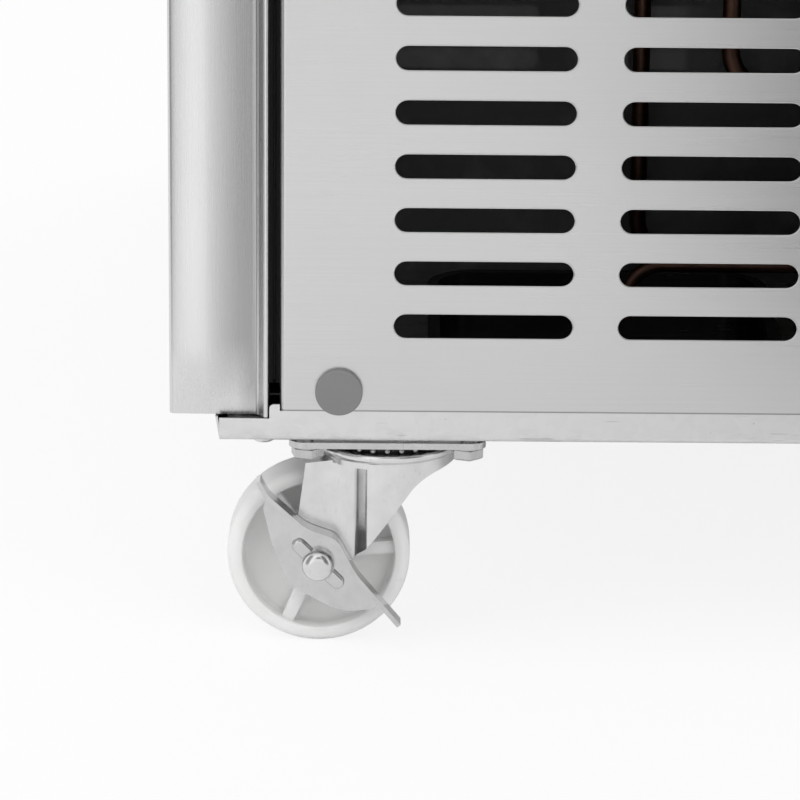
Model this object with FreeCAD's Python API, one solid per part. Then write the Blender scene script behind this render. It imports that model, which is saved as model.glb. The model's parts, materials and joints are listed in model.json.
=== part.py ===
"""A two-door refrigerated counter on swivel casters, in millimetres.

The frame stands on the floor: the origin is the middle of the footprint, +X runs along the counter to its
right end, +Y to the back and +Z up. Every sub-part is written as one STEP file.
"""

import FreeCAD
import Part
import math
import os

V = FreeCAD.Vector
UP = V(0, 0, 1)
ACROSS = V(1, 0, 0)
REARWARD = V(0, 1, 0)

# Whole counter
WIDTH = 900.0
DEPTH = 700.0
WORKTOP_HEIGHT = 850.0
SIDE_OVERHANG = 4.0
FRONT_OVERHANG = 10.0
REAR_OVERHANG = 8.0
SHEET = 1.0

# Worktop
WORKTOP_THICKNESS = 40.0
WORKTOP_SHEET = 1.2
LEAST_RADIUS = 0.5
NEAR = 0.01
WORKTOP_EDGE_RADIUS = 9.0
UPSTAND_HEIGHT = 60.0
UPSTAND_THICKNESS = 16.0
UPSTAND_COVE = 8.0
UPSTAND_TOP_RADIUS = 4.0

# Base pan and its corner pads
BASE_SHEET = 1.0
RAIL_HEIGHT = 13.6
TONGUE_REACH = 26.0
TONGUE_HEIGHT = 10.1
TONGUE_LEAN = 1.7
EAR_WIDTH = 4.5
EAR_RISE = 2.9
EAR_RADIUS = 2.0
RAIL_CORNER_GAP = 1.6
RAIL_BEND_RADIUS = 2.5
PAD_THICKNESS = 2.2
PAD_INSET = 7.0

# Insulated body
WALL = 40.0
FLOOR_WALL = 46.0
LINER_SHEET = 0.8
FRAME_SHEET = 1.2
PANEL_FLANGE = 15.0
PANEL_BEND_RADIUS = 2.5
POST_WIDTH = 70.0
POST_DEPTH = 36.0
POST_WALL = 2.0

# Machine compartment
MACHINE_WIDTH = 250.0
MACHINE_HEIGHT = 230.0
VENT_LENGTH = 77.0
VENT_HEIGHT = 11.4
VENT_ROW_PITCH = 23.4
VENT_FIRST_ROW = 38.2
VENT_COLUMN_PITCH = 95.5
VENT_FIRST_COLUMN = 48.1
VENT_ROWS = 7
VENT_COLUMNS = 4
CAP_DIAMETER = 20.3
CAP_PROUD = 3.0
CAP_STEM_DIAMETER = 8.0
CAP_STEM_LENGTH = 7.0
CAP_FROM_FRONT = 25.3
CAP_ABOVE_BOTTOM = 9.0
CAP_EDGE_RADIUS = 0.75
GRILLE_LAP = 9.0
GRILLE_SLOT_LENGTH = 84.0
GRILLE_SLOT_GAP = 20.0
GRILLE_SLOT_HEIGHT = 7.0
GRILLE_SLOT_PITCH = 20.0
GRILLE_SLOT_ROWS = 8
GRILLE_DEPTH = 5.0
GRILLE_HEM = 1.0

# Doors
DOOR_THICKNESS = 42.5
GASKET_GAP = 5.0
DOOR_DROP = 3.0
DOOR_GAP = 16.0
DOOR_EDGE_RAKE = 5.0
DOOR_EDGE_RADIUS = 52.0
DOOR_CREST_AT = 0.38
DOOR_RUN_OUT = 30.0
DOOR_RUN_OUT_STEPS = 5
DOOR_LEAST_SWELL = 0.4
DOOR_CORNER_RADIUS = 2.5
DOOR_LIP = 1.7
DOOR_LIP_RUN = 3.2
DOOR_LIP_STEP = 4.4
DOOR_LIP_RADIUS = 1.2
DOOR_BACK_RADIUS = 0.9
DOOR_HOLLOW_RADIUS = 3.0
DOOR_RETURN = 9.0
DOOR_LINER = 2.0
GASKET_WIDTH = 13.0
GASKET_EDGE = 12.0
GASKET_GROOVE = 1.4
GASKET_GROOVE_DEPTH = 3.0
PIVOT_INSET = 11.0
PIVOT_AHEAD = 18.0
PIVOT_RADIUS = 3.4
PIVOT_LENGTH = 18.0
PIVOT_CLEARANCE = 0.05
BUSH_RADIUS = 4.8
HINGE_PLATE = 4.0
HINGE_LENGTH = 34.0
HINGE_CLEARANCE = 1.0

# Control fascia
FASCIA_HEIGHT = 53.0
FASCIA_RADIUS = 3.0
CONTROL_FROM_END = 150.0
THERMOSTAT_WIDTH = 71.0
THERMOSTAT_HEIGHT = 29.0
THERMOSTAT_DEPTH = 38.0
BEZEL = 4.0
BEZEL_PROUD = 3.0
WINDOW_WIDTH = 38.0
WINDOW_HEIGHT = 17.0
WINDOW_DEPTH = 1.5
BUTTON_SIZE = 7.0
BUTTON_PROUD = 1.2
BUTTON_TRAVEL = 0.8
BUTTON_DEPTH = 2.0
BUTTON_CLEARANCE = 0.3
BUTTON_PITCH = 12.0
SWITCH_WIDTH = 20.0
SWITCH_HEIGHT = 30.0
SWITCH_DEPTH = 18.0
SWITCH_WALL = 2.0
SWITCH_SPACING = 75.0
ROCKER_CLEARANCE = 0.5
ROCKER_TILT = 8.0
ROCKER_AXLE = 1.5
ROCKER_AXLE_CLEARANCE = 0.05
ROCKER_EDGE = 1.0
ROCKER_DISH_RADIUS = 60.0

# Shelves
SHELF_HEIGHT = 470.0
SHELF_WIRE = 3.6
SHELF_FRAME_WIRE = 6.0
SHELF_WIRES = 15
SHELF_SIDE_GAP = 12.0
SHELF_FRONT_GAP = 18.0
UPRIGHT_WIDTH = 25.0
UPRIGHT_DEPTH = 10.0
UPRIGHT_SHEET = 1.2
UPRIGHT_MARGIN = 34.0
UPRIGHT_FROM_FRONT = 110.0
CLIP_REACH = 20.0
CLIP_THICKNESS = 5.0
CLIP_WIDTH = 18.0

# Evaporator under the ceiling
EVAPORATOR_WIDTH = 340.0
EVAPORATOR_DEPTH = 90.0
EVAPORATOR_HEIGHT = 96.0
EVAPORATOR_FIN_PITCH = 16.0
EVAPORATOR_SPACE = 62.0
COVER_MARGIN = 24.0
DRIP_TRAY_HEIGHT = 14.0
EVAPORATOR_FAN_RADIUS = 44.0
AIR_SLOT_LENGTH = 63.0
AIR_SLOT_HEIGHT = 8.0
AIR_SLOT_PITCH = 18.0
AIR_SLOT_ROWS = 4

# Condensing unit
COMPRESSOR_RADIUS = 78.0
COMPRESSOR_HEIGHT = 165.0
COMPRESSOR_FAN_GAP = 48.5
COMPRESSOR_SEAM = 4.0
COMPRESSOR_SEAM_HEIGHT = 6.0
COMPRESSOR_SEAM_LEVEL = 90.0
COMPRESSOR_FOOT_TAPER = 22.0
COMPRESSOR_FOOT_HEIGHT = 34.0
COMPRESSOR_FOOT_RADIUS = 26.0
COMPRESSOR_SHOULDER = 14.0
COMPRESSOR_SHOULDER_RADIUS = 36.0
COMPRESSOR_CROWN = 35.0
COMPRESSOR_CROWN_RADIUS = 40.0
HOOD_WIDTH = 52.0
HOOD_HEIGHT = 38.0
HOOD_PROUD = 12.0
HOOD_ROOT = 14.0
HOOD_BELOW_SEAM = 8.0
HOOD_EDGE_RADIUS = 4.0
PORT_LEVEL = 115.0
PROCESS_LEVEL = 33.0
PROCESS_REACH = 91.5
PROCESS_DROP = 25.0
PROCESS_RADIUS = 3.2
COMPRESSOR_SIDE_GAP = 20.0
FOOT_HEIGHT = 18.0
FOOT_RADIUS = 12.0
FOOT_SPACING_X = 150.0
FOOT_SPACING_Y = 110.0
FOOT_PLATE = 3.0
FOOT_WAIST_RADIUS = 8.4
FOOT_WAIST_LEVEL = 6.3
FOOT_WAIST_HEIGHT = 5.4
CONDENSER_WIDTH = 196.0
CONDENSER_DEPTH = 66.0
CONDENSER_HEIGHT = 200.0
CONDENSER_FIN_PITCH = 10.0
CONDENSER_FROM_BACK = 60.0
CONDENSER_FAN_RADIUS = 84.0
COIL_TUBE = 9.5
COIL_STUB = 4.0
COIL_TUBE_SHARE = 0.36
COIL_ROW_PITCH = 38.0
FIN = 0.8
COIL_END_PLATE = 1.6
SHROUD_DEPTH = 64.0
FAN_HUB_RADIUS = 20.0
FAN_DEPTH = 22.0
FAN_BLADES = 5
FAN_TIP_GAP = 5.0
BLADE_THICKNESS = 1.6
BLADE_PITCH = 32.0
MOTOR_RADIUS = 26.0
MOTOR_LENGTH = 34.0
SHAFT_RADIUS = 3.0
SHAFT_CLEARANCE = 0.05
MOTOR_GAP = 2.0
ARM_WIDTH = 9.0
ARM_THICKNESS = 2.0
PIPE_RADIUS = 4.0
PIPE_BEND = 16.0
LINE_GAP = 1.0
DRIER_RADIUS = 10.0
DRIER_LENGTH = 70.0
DRIER_SHOULDER = 7.0
TRAY_HEIGHT = 18.5
TRAY_WALL = 1.6
TRAY_WIDTH = 190.0
TRAY_BACK_GAP = 22.0
TRAY_FROM_FRONT = 68.0
TRAY_FROM_PANEL = 10.0
TRAY_CORNER = 20.0
TRAY_RIM = 4.0
TRAY_RIM_THICKNESS = 2.4
GLAND_RADIUS = 9.0
GLAND_BORE = 4.0
GLAND_NECK = 6.0
GLAND_PROUD = 2.4

# Screws
SCREW_HEAD_RADIUS = 4.5
SCREW_HEAD_HEIGHT = 2.2
SCREW_HEAD_ROUND = 1.7
SCREW_RADIUS = 2.0
SCREW_INSET = 12.0
HINGE_BOLT_RADIUS = 5.2
HINGE_BOLT_HEAD = 5.0
HINGE_BOLT_ROUND = 2.6
HINGE_BOLT_INSET = 16.5

# Casters
WHEEL_DIAMETER = 80.0
WHEEL_WIDTH = 25.0
WHEEL_EDGE_RADIUS = 4.0
RIM_INNER_RADIUS = 33.4
WEB_THICKNESS = 7.0
HUB_RADIUS = 12.0
HUB_GAP = 0.5
HUB_EDGE_RADIUS = 1.0
WEB_FILLET = 2.0
RIM_EDGE_RADIUS = 1.0
WHEEL_RIBS = 3
WHEEL_RIB_WIDTH = 5.5
WHEEL_RIB_RECESS = 3.0
WHEEL_RIB_ANGLE = 6.0
AXLE_RADIUS = 4.0
AXLE_CLEARANCE = 0.05
AXLE_HEAD_RADIUS = 7.2
AXLE_HEAD_HEIGHT = 5.0
AXLE_HEAD_ROUND = 4.5
CASTER_TRAIL = 29.8
CASTER_HEIGHT = 98.7
CASTER_INSET = 38.0
CASTER_FROM_FRONT = 46.2
CASTER_FROM_BACK = 70.0
PLATE_LENGTH = 85.0
PLATE_WIDTH = 66.0
PLATE_THICKNESS = 2.9
PLATE_CORNER = 6.0
BOLT_SPACING_Y = 69.0
BOLT_SPACING_X = 46.0
BOLT_RADIUS = 4.0
BOLT_FLANGE_RADIUS = 8.0
BOLT_FLANGE_HEIGHT = 1.8
BOLT_FLATS = 13.0
BOLT_HEAD = 4.5
RACE_RADIUS = 27.5
RACE_BORE = 18.0
RACE_DROP = 6.0
RACE_EDGE_RADIUS = 4.0
RACE_BORE_RADIUS = 1.0
CUP_RADIUS = 31.0
CUP_RIM = 4.2
CUP_ROLL = 1.5
CUP_ROLL_HEIGHT = 2.6
CUP_BELOW_PLATE = 3.5
CUP_RIM_RADIUS = 1.2
FORK_SHEET = 2.5
FORK_LEG_OUTER = 20.0
FORK_CREASE = 13.0
FORK_FLARE = 4.6
FORK_CREASE_RADIUS = 1.6
FORK_SHOULDER_RADIUS = 5.0
FORK_SHOULDER_FRONT = 3.2
FORK_SHOULDER_BACK = 0.3
FORK_END_RADIUS = 11.5
FORK_FRONT_TOP = 35.0
FORK_KNEE_BACK = 14.5
FORK_KNEE_DROP = 4.5
FORK_KNEE_RADIUS = 22.0
KING_PIN_RADIUS = 6.0
KING_PIN_CLEARANCE = 0.05
KING_PIN_HEAD = 2.4
KING_PIN_HEAD_RADIUS = 10.0
LEVER_SHEET = 2.0
LEVER_GAP = 0.4
LEVER_FLANGE = 13.0
LEVER_RIDGE_LENGTH = 30.0
LEVER_RIDGE_WIDTH = 6.6
LEVER_RIDGE_HEIGHT = 1.8
LEVER_RIDGE_ROUND = 1.6
LEVER_RIDGE_TURN = -45.0

# The brake lever about its axle, as (Y, Z, corner radius): the S of the tread, and the leaf under it
LEVER_TREAD = [(-25.1, 40.0, 0), (-21.5, 33.0, 15.0), (-5.0, 18.0, 20.0), (8.0, 13.5, 9.0),
               (17.0, -3.0, 25.0), (36.2, -25.8, 0)]
LEVER_LEAF = [(27.0, -14.9, 0), (24.5, -21.0, 3.0), (10.0, -22.5, 20.0), (-13.0, -10.0, 18.0),
              (-20.5, 10.0, 25.0), (-24.0, 25.0, 3.0)]

# Places worked out from the sizes above
BASE_BOTTOM = CASTER_HEIGHT + PAD_THICKNESS
BASE_FLOOR = BASE_BOTTOM + BASE_SHEET
PANEL_BOTTOM = BASE_BOTTOM + RAIL_HEIGHT
BODY_X = WIDTH / 2 - SIDE_OVERHANG
DOOR_FRONT = -DEPTH / 2 + FRONT_OVERHANG
DOOR_BACK = DOOR_FRONT + DOOR_THICKNESS
BODY_FRONT = DOOR_BACK + GASKET_GAP
BODY_BACK = DEPTH / 2 - REAR_OVERHANG
BODY_TOP = WORKTOP_HEIGHT - WORKTOP_THICKNESS
SKIN = max(SHEET, BASE_SHEET)
FOAM_X = BODY_X - SKIN
FRAME_BACK = BODY_FRONT + FRAME_SHEET
FOAM_FRONT = BODY_FRONT + max(FRAME_SHEET, PANEL_BEND_RADIUS)
FOAM_BOTTOM = BASE_BOTTOM + max(BASE_SHEET, RAIL_BEND_RADIUS)
FOAM_BACK = BODY_BACK - SKIN
ROOM_X = FOAM_X - WALL
ROOM_BACK = FOAM_BACK - WALL
ROOM_FLOOR = PANEL_BOTTOM + FLOOR_WALL
ROOM_TOP = BODY_TOP - WALL
MACHINE_X = FOAM_X - MACHINE_WIDTH
MACHINE_TOP = PANEL_BOTTOM + MACHINE_HEIGHT
MACHINE_CEILING = MACHINE_TOP - LINER_SHEET
STEP_X = MACHINE_X - WALL
STEP_TOP = MACHINE_TOP + WALL
FASCIA_BOTTOM = BODY_TOP - FASCIA_HEIGHT
DOOR_TOP = FASCIA_BOTTOM - HINGE_PLATE - HINGE_CLEARANCE
DOOR_BOTTOM = PANEL_BOTTOM - DOOR_DROP
PIVOT_X = BODY_X - PIVOT_INSET
PIVOT_Y = BODY_FRONT - PIVOT_AHEAD
TONGUE_FRONT = BODY_FRONT - TONGUE_REACH
TONGUE_TOP = BASE_BOTTOM + TONGUE_HEIGHT
INSIDE_X = ROOM_X - LINER_SHEET
INSIDE_BACK = ROOM_BACK - LINER_SHEET
INSIDE_FLOOR = ROOM_FLOOR + LINER_SHEET
INSIDE_TOP = ROOM_TOP - LINER_SHEET
INSIDE_STEP_TOP = STEP_TOP + LINER_SHEET
POST_BACK = BODY_FRONT + POST_DEPTH
SIDES = {"right": 1.0, "left": -1.0}


def box(x0, x1, y0, y1, z0, z1):
    """A block between two corners, given in any order on each axis."""
    low = V(min(x0, x1), min(y0, y1), min(z0, z1))
    return Part.makeBox(abs(x1 - x0), abs(y1 - y0), abs(z1 - z0), low)


def rod(radius, start, direction, length):
    """A cylinder from a start point along a direction."""
    return Part.makeCylinder(radius, length, start, direction)


def on_xy(z):
    return lambda u, v: V(u, v, z)


def on_yz(x):
    return lambda u, v: V(x, u, v)


def on_xz(y):
    return lambda u, v: V(u, y, v)


def unit(dx, dy):
    length = math.hypot(dx, dy)
    return dx / length, dy / length


def corner_arc(before, corner, after):
    """The points where a corner's arc starts, has its middle and ends."""
    u, v, radius = corner
    ix, iy = unit(before[0] - u, before[1] - v)
    ox, oy = unit(after[0] - u, after[1] - v)
    half = math.acos(max(-1.0, min(1.0, ix * ox + iy * oy))) / 2
    reach = radius / math.tan(half)
    bx, by = unit(ix + ox, iy + oy)
    inward = radius / math.sin(half) - radius
    start = (u + ix * reach, v + iy * reach)
    end = (u + ox * reach, v + oy * reach)
    return start, (u + bx * inward, v + by * inward), end


def path_edges(corners, place, closed):
    """Lines and tangent arcs through corners of (u, v, radius)."""
    stops = []
    count = len(corners)
    for index, corner in enumerate(corners):
        inner = closed or 0 < index < count - 1
        if inner and corner[2] > 0:
            stops.append(corner_arc(corners[index - 1], corner, corners[(index + 1) % count]))
        else:
            stops.append((corner[:2], None, corner[:2]))
    edges = []
    for index, (start, middle, end) in enumerate(stops):
        if middle:
            edges.append(Part.Arc(place(*start), place(*middle), place(*end)).toShape())
        if closed or index < count - 1:
            following = stops[(index + 1) % count][0]
            if math.dist(end, following) > 1e-6:
                edges.append(Part.LineSegment(place(*end), place(*following)).toShape())
    return edges


def face(corners, place):
    """A flat face with rounded corners."""
    return Part.Face(Part.Wire(path_edges(corners, place, True)))


def prism(corners, place, extent):
    """A rounded outline pushed along a vector."""
    return face(corners, place).extrude(extent)


def shifted(corners, distance, closed):
    """The same path moved to its left by a distance, with its arcs kept concentric."""
    moved = []
    count = len(corners)
    for index, (u, v, radius) in enumerate(corners):
        before = corners[index - 1] if closed or index else None
        after = corners[(index + 1) % count] if closed or index < count - 1 else None
        first = unit(u - before[0], v - before[1]) if before else None
        second = unit(after[0] - u, after[1] - v) if after else None
        first = first or second
        second = second or first
        ax, ay = -first[1], first[0]
        bx, by = -second[1], second[0]
        share = distance / (1 + ax * bx + ay * by)
        left_turn = first[0] * second[1] - first[1] * second[0] > 0
        turned = radius - distance if left_turn else radius + distance
        moved.append((u + (ax + bx) * share, v + (ay + by) * share, max(turned, 0.0) if radius else 0.0))
    return moved


def folded(path, thickness, place, extent):
    """A bent sheet: its middle section is a path thickened to the left, pushed along a vector."""
    return prism(path + shifted(path, thickness, False)[::-1], place, extent)


def mirrored(shape):
    return shape.mirror(V(0, 0, 0), ACROSS)


def fused(shapes):
    """One solid from shapes that meet."""
    return shapes[0].multiFuse(shapes[1:]).removeSplitter()


def group(shapes):
    return Part.makeCompound(shapes)


def turned(profile, start, direction):
    """A profile of (radius, height, fillet) corners turned about an axis from a start point."""
    shape = face(profile, on_xz(0)).revolve(V(0, 0, 0), UP, 360)
    shape.Placement = FreeCAD.Placement(start, FreeCAD.Rotation(UP, direction))
    return shape


def ring(outer, inner, start, direction, length):
    return rod(outer, start, direction, length).cut(rod(inner, start, direction, length))


def hexagon(flats, start, direction, length):
    """A six-sided head on a start point, along Z or against it."""
    corner = flats / math.sqrt(3)
    corners = [(start.x + corner * math.cos(turn), start.y + corner * math.sin(turn), 0)
               for turn in (math.radians(60 * step) for step in range(6))]
    return prism(corners, on_xy(start.z), V(direction).multiply(length))


def tube(points, radius, bend):
    """A round tube along straight runs joined by tangent arcs."""
    edges = []
    start = points[0]
    for before, corner, after in zip(points, points[1:], points[2:]):
        inward = V(before - corner).normalize()
        outward = V(after - corner).normalize()
        half = inward.getAngle(outward) / 2
        reach = bend / math.tan(half)
        middle = V(inward + outward).normalize().multiply(bend / math.sin(half) - bend)
        first = corner + inward * reach
        last = corner + outward * reach
        edges.append(Part.LineSegment(start, first).toShape())
        edges.append(Part.Arc(first, corner + middle, last).toShape())
        start = last
    edges.append(Part.LineSegment(start, points[-1]).toShape())
    spine = Part.Wire(edges)
    section = Part.Wire([Part.Circle(points[0], points[1] - points[0], radius).toShape()])
    return spine.makePipeShell([section], True, False)


def obround(centre, length, height, place, extent):
    """A slot with round ends."""
    u, v = centre
    end = height / 2
    half = length / 2 - end
    low, high = v - end, v + end
    edges = [Part.LineSegment(place(u - half, low), place(u + half, low)).toShape(),
             Part.Arc(place(u + half, low), place(u + half + end, v), place(u + half, high)).toShape(),
             Part.LineSegment(place(u + half, high), place(u - half, high)).toShape(),
             Part.Arc(place(u - half, high), place(u - half - end, v), place(u - half, low)).toShape()]
    return Part.Face(Part.Wire(edges)).extrude(extent)


# Worktop


def worktop_section(inset):
    """The side view of the worktop, drawn inside its outer face by an inset."""
    front = -DEPTH / 2 + inset
    back = DEPTH / 2 - inset
    top = WORKTOP_HEIGHT - inset
    upstand_front = DEPTH / 2 - UPSTAND_THICKNESS + inset
    upstand_top = WORKTOP_HEIGHT + UPSTAND_HEIGHT - inset
    round_top = max(UPSTAND_TOP_RADIUS - inset, LEAST_RADIUS)
    return [(front, BODY_TOP, 0), (front, top, max(WORKTOP_EDGE_RADIUS - inset, LEAST_RADIUS)),
            (upstand_front, top, UPSTAND_COVE + inset), (upstand_front, upstand_top, round_top),
            (back, upstand_top, round_top), (back, BODY_TOP, 0)]


def worktop():
    """A folded pan, open below, whose rear edge turns up."""
    outer = prism(worktop_section(0.0), on_yz(-WIDTH / 2), V(WIDTH, 0, 0))
    hollow_x = WIDTH / 2 - WORKTOP_SHEET
    hollow = prism(worktop_section(WORKTOP_SHEET), on_yz(-hollow_x), V(2 * hollow_x, 0, 0))
    return outer.cut(hollow)


def worktop_core():
    """The board that fills the pan and the strip that fills the upstand."""
    half = WIDTH / 2 - WORKTOP_SHEET
    strip_front = DEPTH / 2 - UPSTAND_THICKNESS + WORKTOP_SHEET
    board = prism(
        [(-DEPTH / 2 + WORKTOP_SHEET, BODY_TOP, 0),
         (-DEPTH / 2 + WORKTOP_SHEET, WORKTOP_HEIGHT - WORKTOP_SHEET, WORKTOP_EDGE_RADIUS - WORKTOP_SHEET),
         (strip_front - UPSTAND_COVE, WORKTOP_HEIGHT - WORKTOP_SHEET, 0),
         (strip_front - UPSTAND_COVE, BODY_TOP, 0)], on_yz(-half), V(2 * half, 0, 0))
    strip_top = WORKTOP_HEIGHT + UPSTAND_HEIGHT - WORKTOP_SHEET
    strip_back = DEPTH / 2 - WORKTOP_SHEET
    strip_round = max(UPSTAND_TOP_RADIUS - WORKTOP_SHEET, LEAST_RADIUS)
    strip = prism(
        [(strip_front, BODY_TOP, 0), (strip_front, strip_top, strip_round),
         (strip_back, strip_top, strip_round), (strip_back, BODY_TOP, 0)], on_yz(-half), V(2 * half, 0, 0))
    return group([board, strip])


# Body skins


def side_panel(side):
    """A flat sheet whose front edge turns in over the front frame."""
    path = [(BODY_X, BODY_BACK, 0), (BODY_X, BODY_FRONT, PANEL_BEND_RADIUS),
            (BODY_X - PANEL_FLANGE, BODY_FRONT, 0)]
    sheet = folded(path, -SHEET, on_xy(PANEL_BOTTOM), V(0, 0, BODY_TOP - PANEL_BOTTOM))
    sheet = sheet.cut(rod(CAP_STEM_DIAMETER / 2, cap_place(), ACROSS, 2 * SHEET))
    return sheet if side > 0 else mirrored(sheet)


def cap_place():
    """The point in the right panel's inner face where the round plug goes through."""
    return V(BODY_X - SHEET, BODY_FRONT + CAP_FROM_FRONT, PANEL_BOTTOM + CAP_ABOVE_BOTTOM)


def vented_panel():
    """The right panel, with rows of round-ended slots beside the machine compartment."""
    slots = []
    for row in range(VENT_ROWS):
        for column in range(VENT_COLUMNS):
            start = BODY_FRONT + VENT_FIRST_COLUMN + column * VENT_COLUMN_PITCH
            centre = (start + VENT_LENGTH / 2, PANEL_BOTTOM + VENT_FIRST_ROW + row * VENT_ROW_PITCH)
            slots.append(obround(centre, VENT_LENGTH, VENT_HEIGHT, on_yz(BODY_X - SHEET), V(SHEET, 0, 0)))
    return side_panel(1.0).cut(group(slots))


def side_caps():
    """A round plug in each end panel, with a slightly domed head."""
    place = cap_place()
    stem = rod(CAP_STEM_DIAMETER / 2, place - V(CAP_STEM_LENGTH - SHEET, 0, 0), ACROSS, CAP_STEM_LENGTH)
    head = rod(CAP_DIAMETER / 2, place + V(SHEET, 0, 0), ACROSS, CAP_PROUD)
    rim = [edge for edge in head.Edges if edge.CenterOfMass.x > place.x + SHEET + CAP_PROUD - NEAR]
    head = head.makeFillet(CAP_EDGE_RADIUS, rim[:1])
    cap = fused([stem, head])
    return group([cap, mirrored(cap)])


def back_panel():
    """The rear sheet, open behind the machine compartment."""
    sheet = box(-FOAM_X, FOAM_X, BODY_BACK - SHEET, BODY_BACK, PANEL_BOTTOM, BODY_TOP)
    return sheet.cut(box(MACHINE_X, FOAM_X, BODY_BACK - SHEET, BODY_BACK, PANEL_BOTTOM, MACHINE_TOP))


def grille_screws():
    """The centres of the screws round the rear grille."""
    low = MACHINE_X - GRILLE_LAP / 2
    high = FOAM_X - SCREW_HEAD_RADIUS
    top = MACHINE_TOP + GRILLE_LAP / 2
    return [(low, top), ((low + high) / 2, top), (high, top)]


def rear_grille():
    """A shallow pan with rows of louvre slots over the rear opening."""
    low = MACHINE_X - GRILLE_LAP
    top = MACHINE_TOP + GRILLE_LAP
    plate = box(low, BODY_X, BODY_BACK, BODY_BACK + SHEET, PANEL_BOTTOM, top)
    raised = box(MACHINE_X, FOAM_X - SCREW_INSET, BODY_BACK, BODY_BACK + GRILLE_DEPTH,
                 PANEL_BOTTOM + GRILLE_HEM, MACHINE_TOP)
    hollow = box(MACHINE_X + SHEET, FOAM_X - SCREW_INSET - SHEET,
                 BODY_BACK, BODY_BACK + GRILLE_DEPTH - SHEET,
                 PANEL_BOTTOM + GRILLE_HEM + SHEET, MACHINE_TOP - SHEET)
    pan = fused([plate, raised]).cut(hollow)
    middle = (MACHINE_X + FOAM_X - SCREW_INSET) / 2
    first = (PANEL_BOTTOM + MACHINE_TOP) / 2 - (GRILLE_SLOT_ROWS - 1) * GRILLE_SLOT_PITCH / 2
    slots = []
    aside = (GRILLE_SLOT_LENGTH + GRILLE_SLOT_GAP) / 2
    for row in range(GRILLE_SLOT_ROWS):
        for side in SIDES.values():
            centre = (middle + side * aside, first + row * GRILLE_SLOT_PITCH)
            slots.append(obround(centre, GRILLE_SLOT_LENGTH, GRILLE_SLOT_HEIGHT, on_xz(BODY_BACK),
                                 V(0, GRILLE_DEPTH, 0)))
    holes = [rod(SCREW_RADIUS, V(x, BODY_BACK, z), REARWARD, SHEET) for x, z in grille_screws()]
    holes.append(rod(GLAND_NECK, gland_place() - V(0, GRILLE_DEPTH, 0), REARWARD, GRILLE_DEPTH))
    return pan.cut(group(slots + holes))


def base_frame():
    """A galvanised pan with upturned edges, lower under the doors, and a pad over each caster."""
    length = BODY_BACK - TONGUE_FRONT
    floor_path = [(-BODY_X, PANEL_BOTTOM, 0), (-BODY_X, BASE_BOTTOM, RAIL_BEND_RADIUS),
                  (BODY_X, BASE_BOTTOM, RAIL_BEND_RADIUS), (BODY_X, PANEL_BOTTOM, 0)]
    pan = folded(floor_path, BASE_SHEET, on_xz(TONGUE_FRONT), V(0, length, 0))
    above_tongue = box(-BODY_X, BODY_X, TONGUE_FRONT, BODY_FRONT, TONGUE_TOP, PANEL_BOTTOM)
    pan = pan.cut(above_tongue)
    ear_front = BODY_FRONT - EAR_WIDTH
    ear_top = PANEL_BOTTOM + EAR_RISE
    ear = prism([(ear_front, TONGUE_TOP, 0), (BODY_FRONT, TONGUE_TOP, 0), (BODY_FRONT, ear_top, 0),
                 (ear_front, ear_top, EAR_RADIUS)], on_yz(BODY_X - BASE_SHEET), V(BASE_SHEET, 0, 0))
    inner = BODY_X - BASE_SHEET - RAIL_CORNER_GAP
    leaning_front = TONGUE_FRONT - TONGUE_LEAN
    lean = [(TONGUE_FRONT, BASE_BOTTOM, 0), (leaning_front, TONGUE_TOP, 0),
            (leaning_front + BASE_SHEET, TONGUE_TOP, 0), (TONGUE_FRONT + BASE_SHEET, BASE_BOTTOM, 0)]
    front_edge = prism(lean, on_yz(-inner), V(2 * inner, 0, 0))
    rear_edge = box(-inner, inner, BODY_BACK - BASE_SHEET, BODY_BACK, BASE_BOTTOM, PANEL_BOTTOM)
    half_x = PLATE_WIDTH / 2 - PAD_INSET
    half_y = PLATE_LENGTH / 2 - PAD_INSET / 2
    pads = [box(x - half_x, x + half_x, y - half_y, y + half_y, CASTER_HEIGHT, BASE_BOTTOM)
            for x, y in caster_places().values()]
    shell = fused([pan, ear, mirrored(ear), front_edge, rear_edge] + pads)
    holes = [rod(BOLT_RADIUS, V(x, y, CASTER_HEIGHT), UP, PAD_THICKNESS + BASE_SHEET)
             for x, y in bolt_places()]
    holes += [rod(SCREW_RADIUS, V(x, y, BASE_BOTTOM), UP, BASE_SHEET) for x, y in hinge_bolt_places()]
    return shell.cut(group(holes))


# Insulated body


def insulation():
    """Foam slabs for the walls, floor, machine step, back and ceiling."""
    plug_end = cap_place() - V(CAP_STEM_LENGTH, 0, 0)
    plug = mirrored(rod(CAP_STEM_DIAMETER / 2, plug_end, ACROSS, CAP_STEM_LENGTH))
    return group([
        box(-FOAM_X, -ROOM_X, FOAM_FRONT, FOAM_BACK, FOAM_BOTTOM, BODY_TOP).cut(plug),
        box(ROOM_X, FOAM_X, FOAM_FRONT, FOAM_BACK, STEP_TOP, BODY_TOP),
        box(-ROOM_X, STEP_X, FOAM_FRONT, FOAM_BACK, FOAM_BOTTOM, ROOM_FLOOR),
        box(STEP_X, MACHINE_X, FOAM_FRONT, FOAM_BACK, FOAM_BOTTOM, STEP_TOP),
        box(MACHINE_X, FOAM_X, FOAM_FRONT, FOAM_BACK, MACHINE_TOP, STEP_TOP),
        box(-ROOM_X, STEP_X, ROOM_BACK, FOAM_BACK, ROOM_FLOOR, ROOM_TOP),
        box(STEP_X, ROOM_X, ROOM_BACK, FOAM_BACK, STEP_TOP, ROOM_TOP),
        box(-ROOM_X, ROOM_X, FOAM_FRONT, FOAM_BACK, ROOM_TOP, BODY_TOP)])


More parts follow.
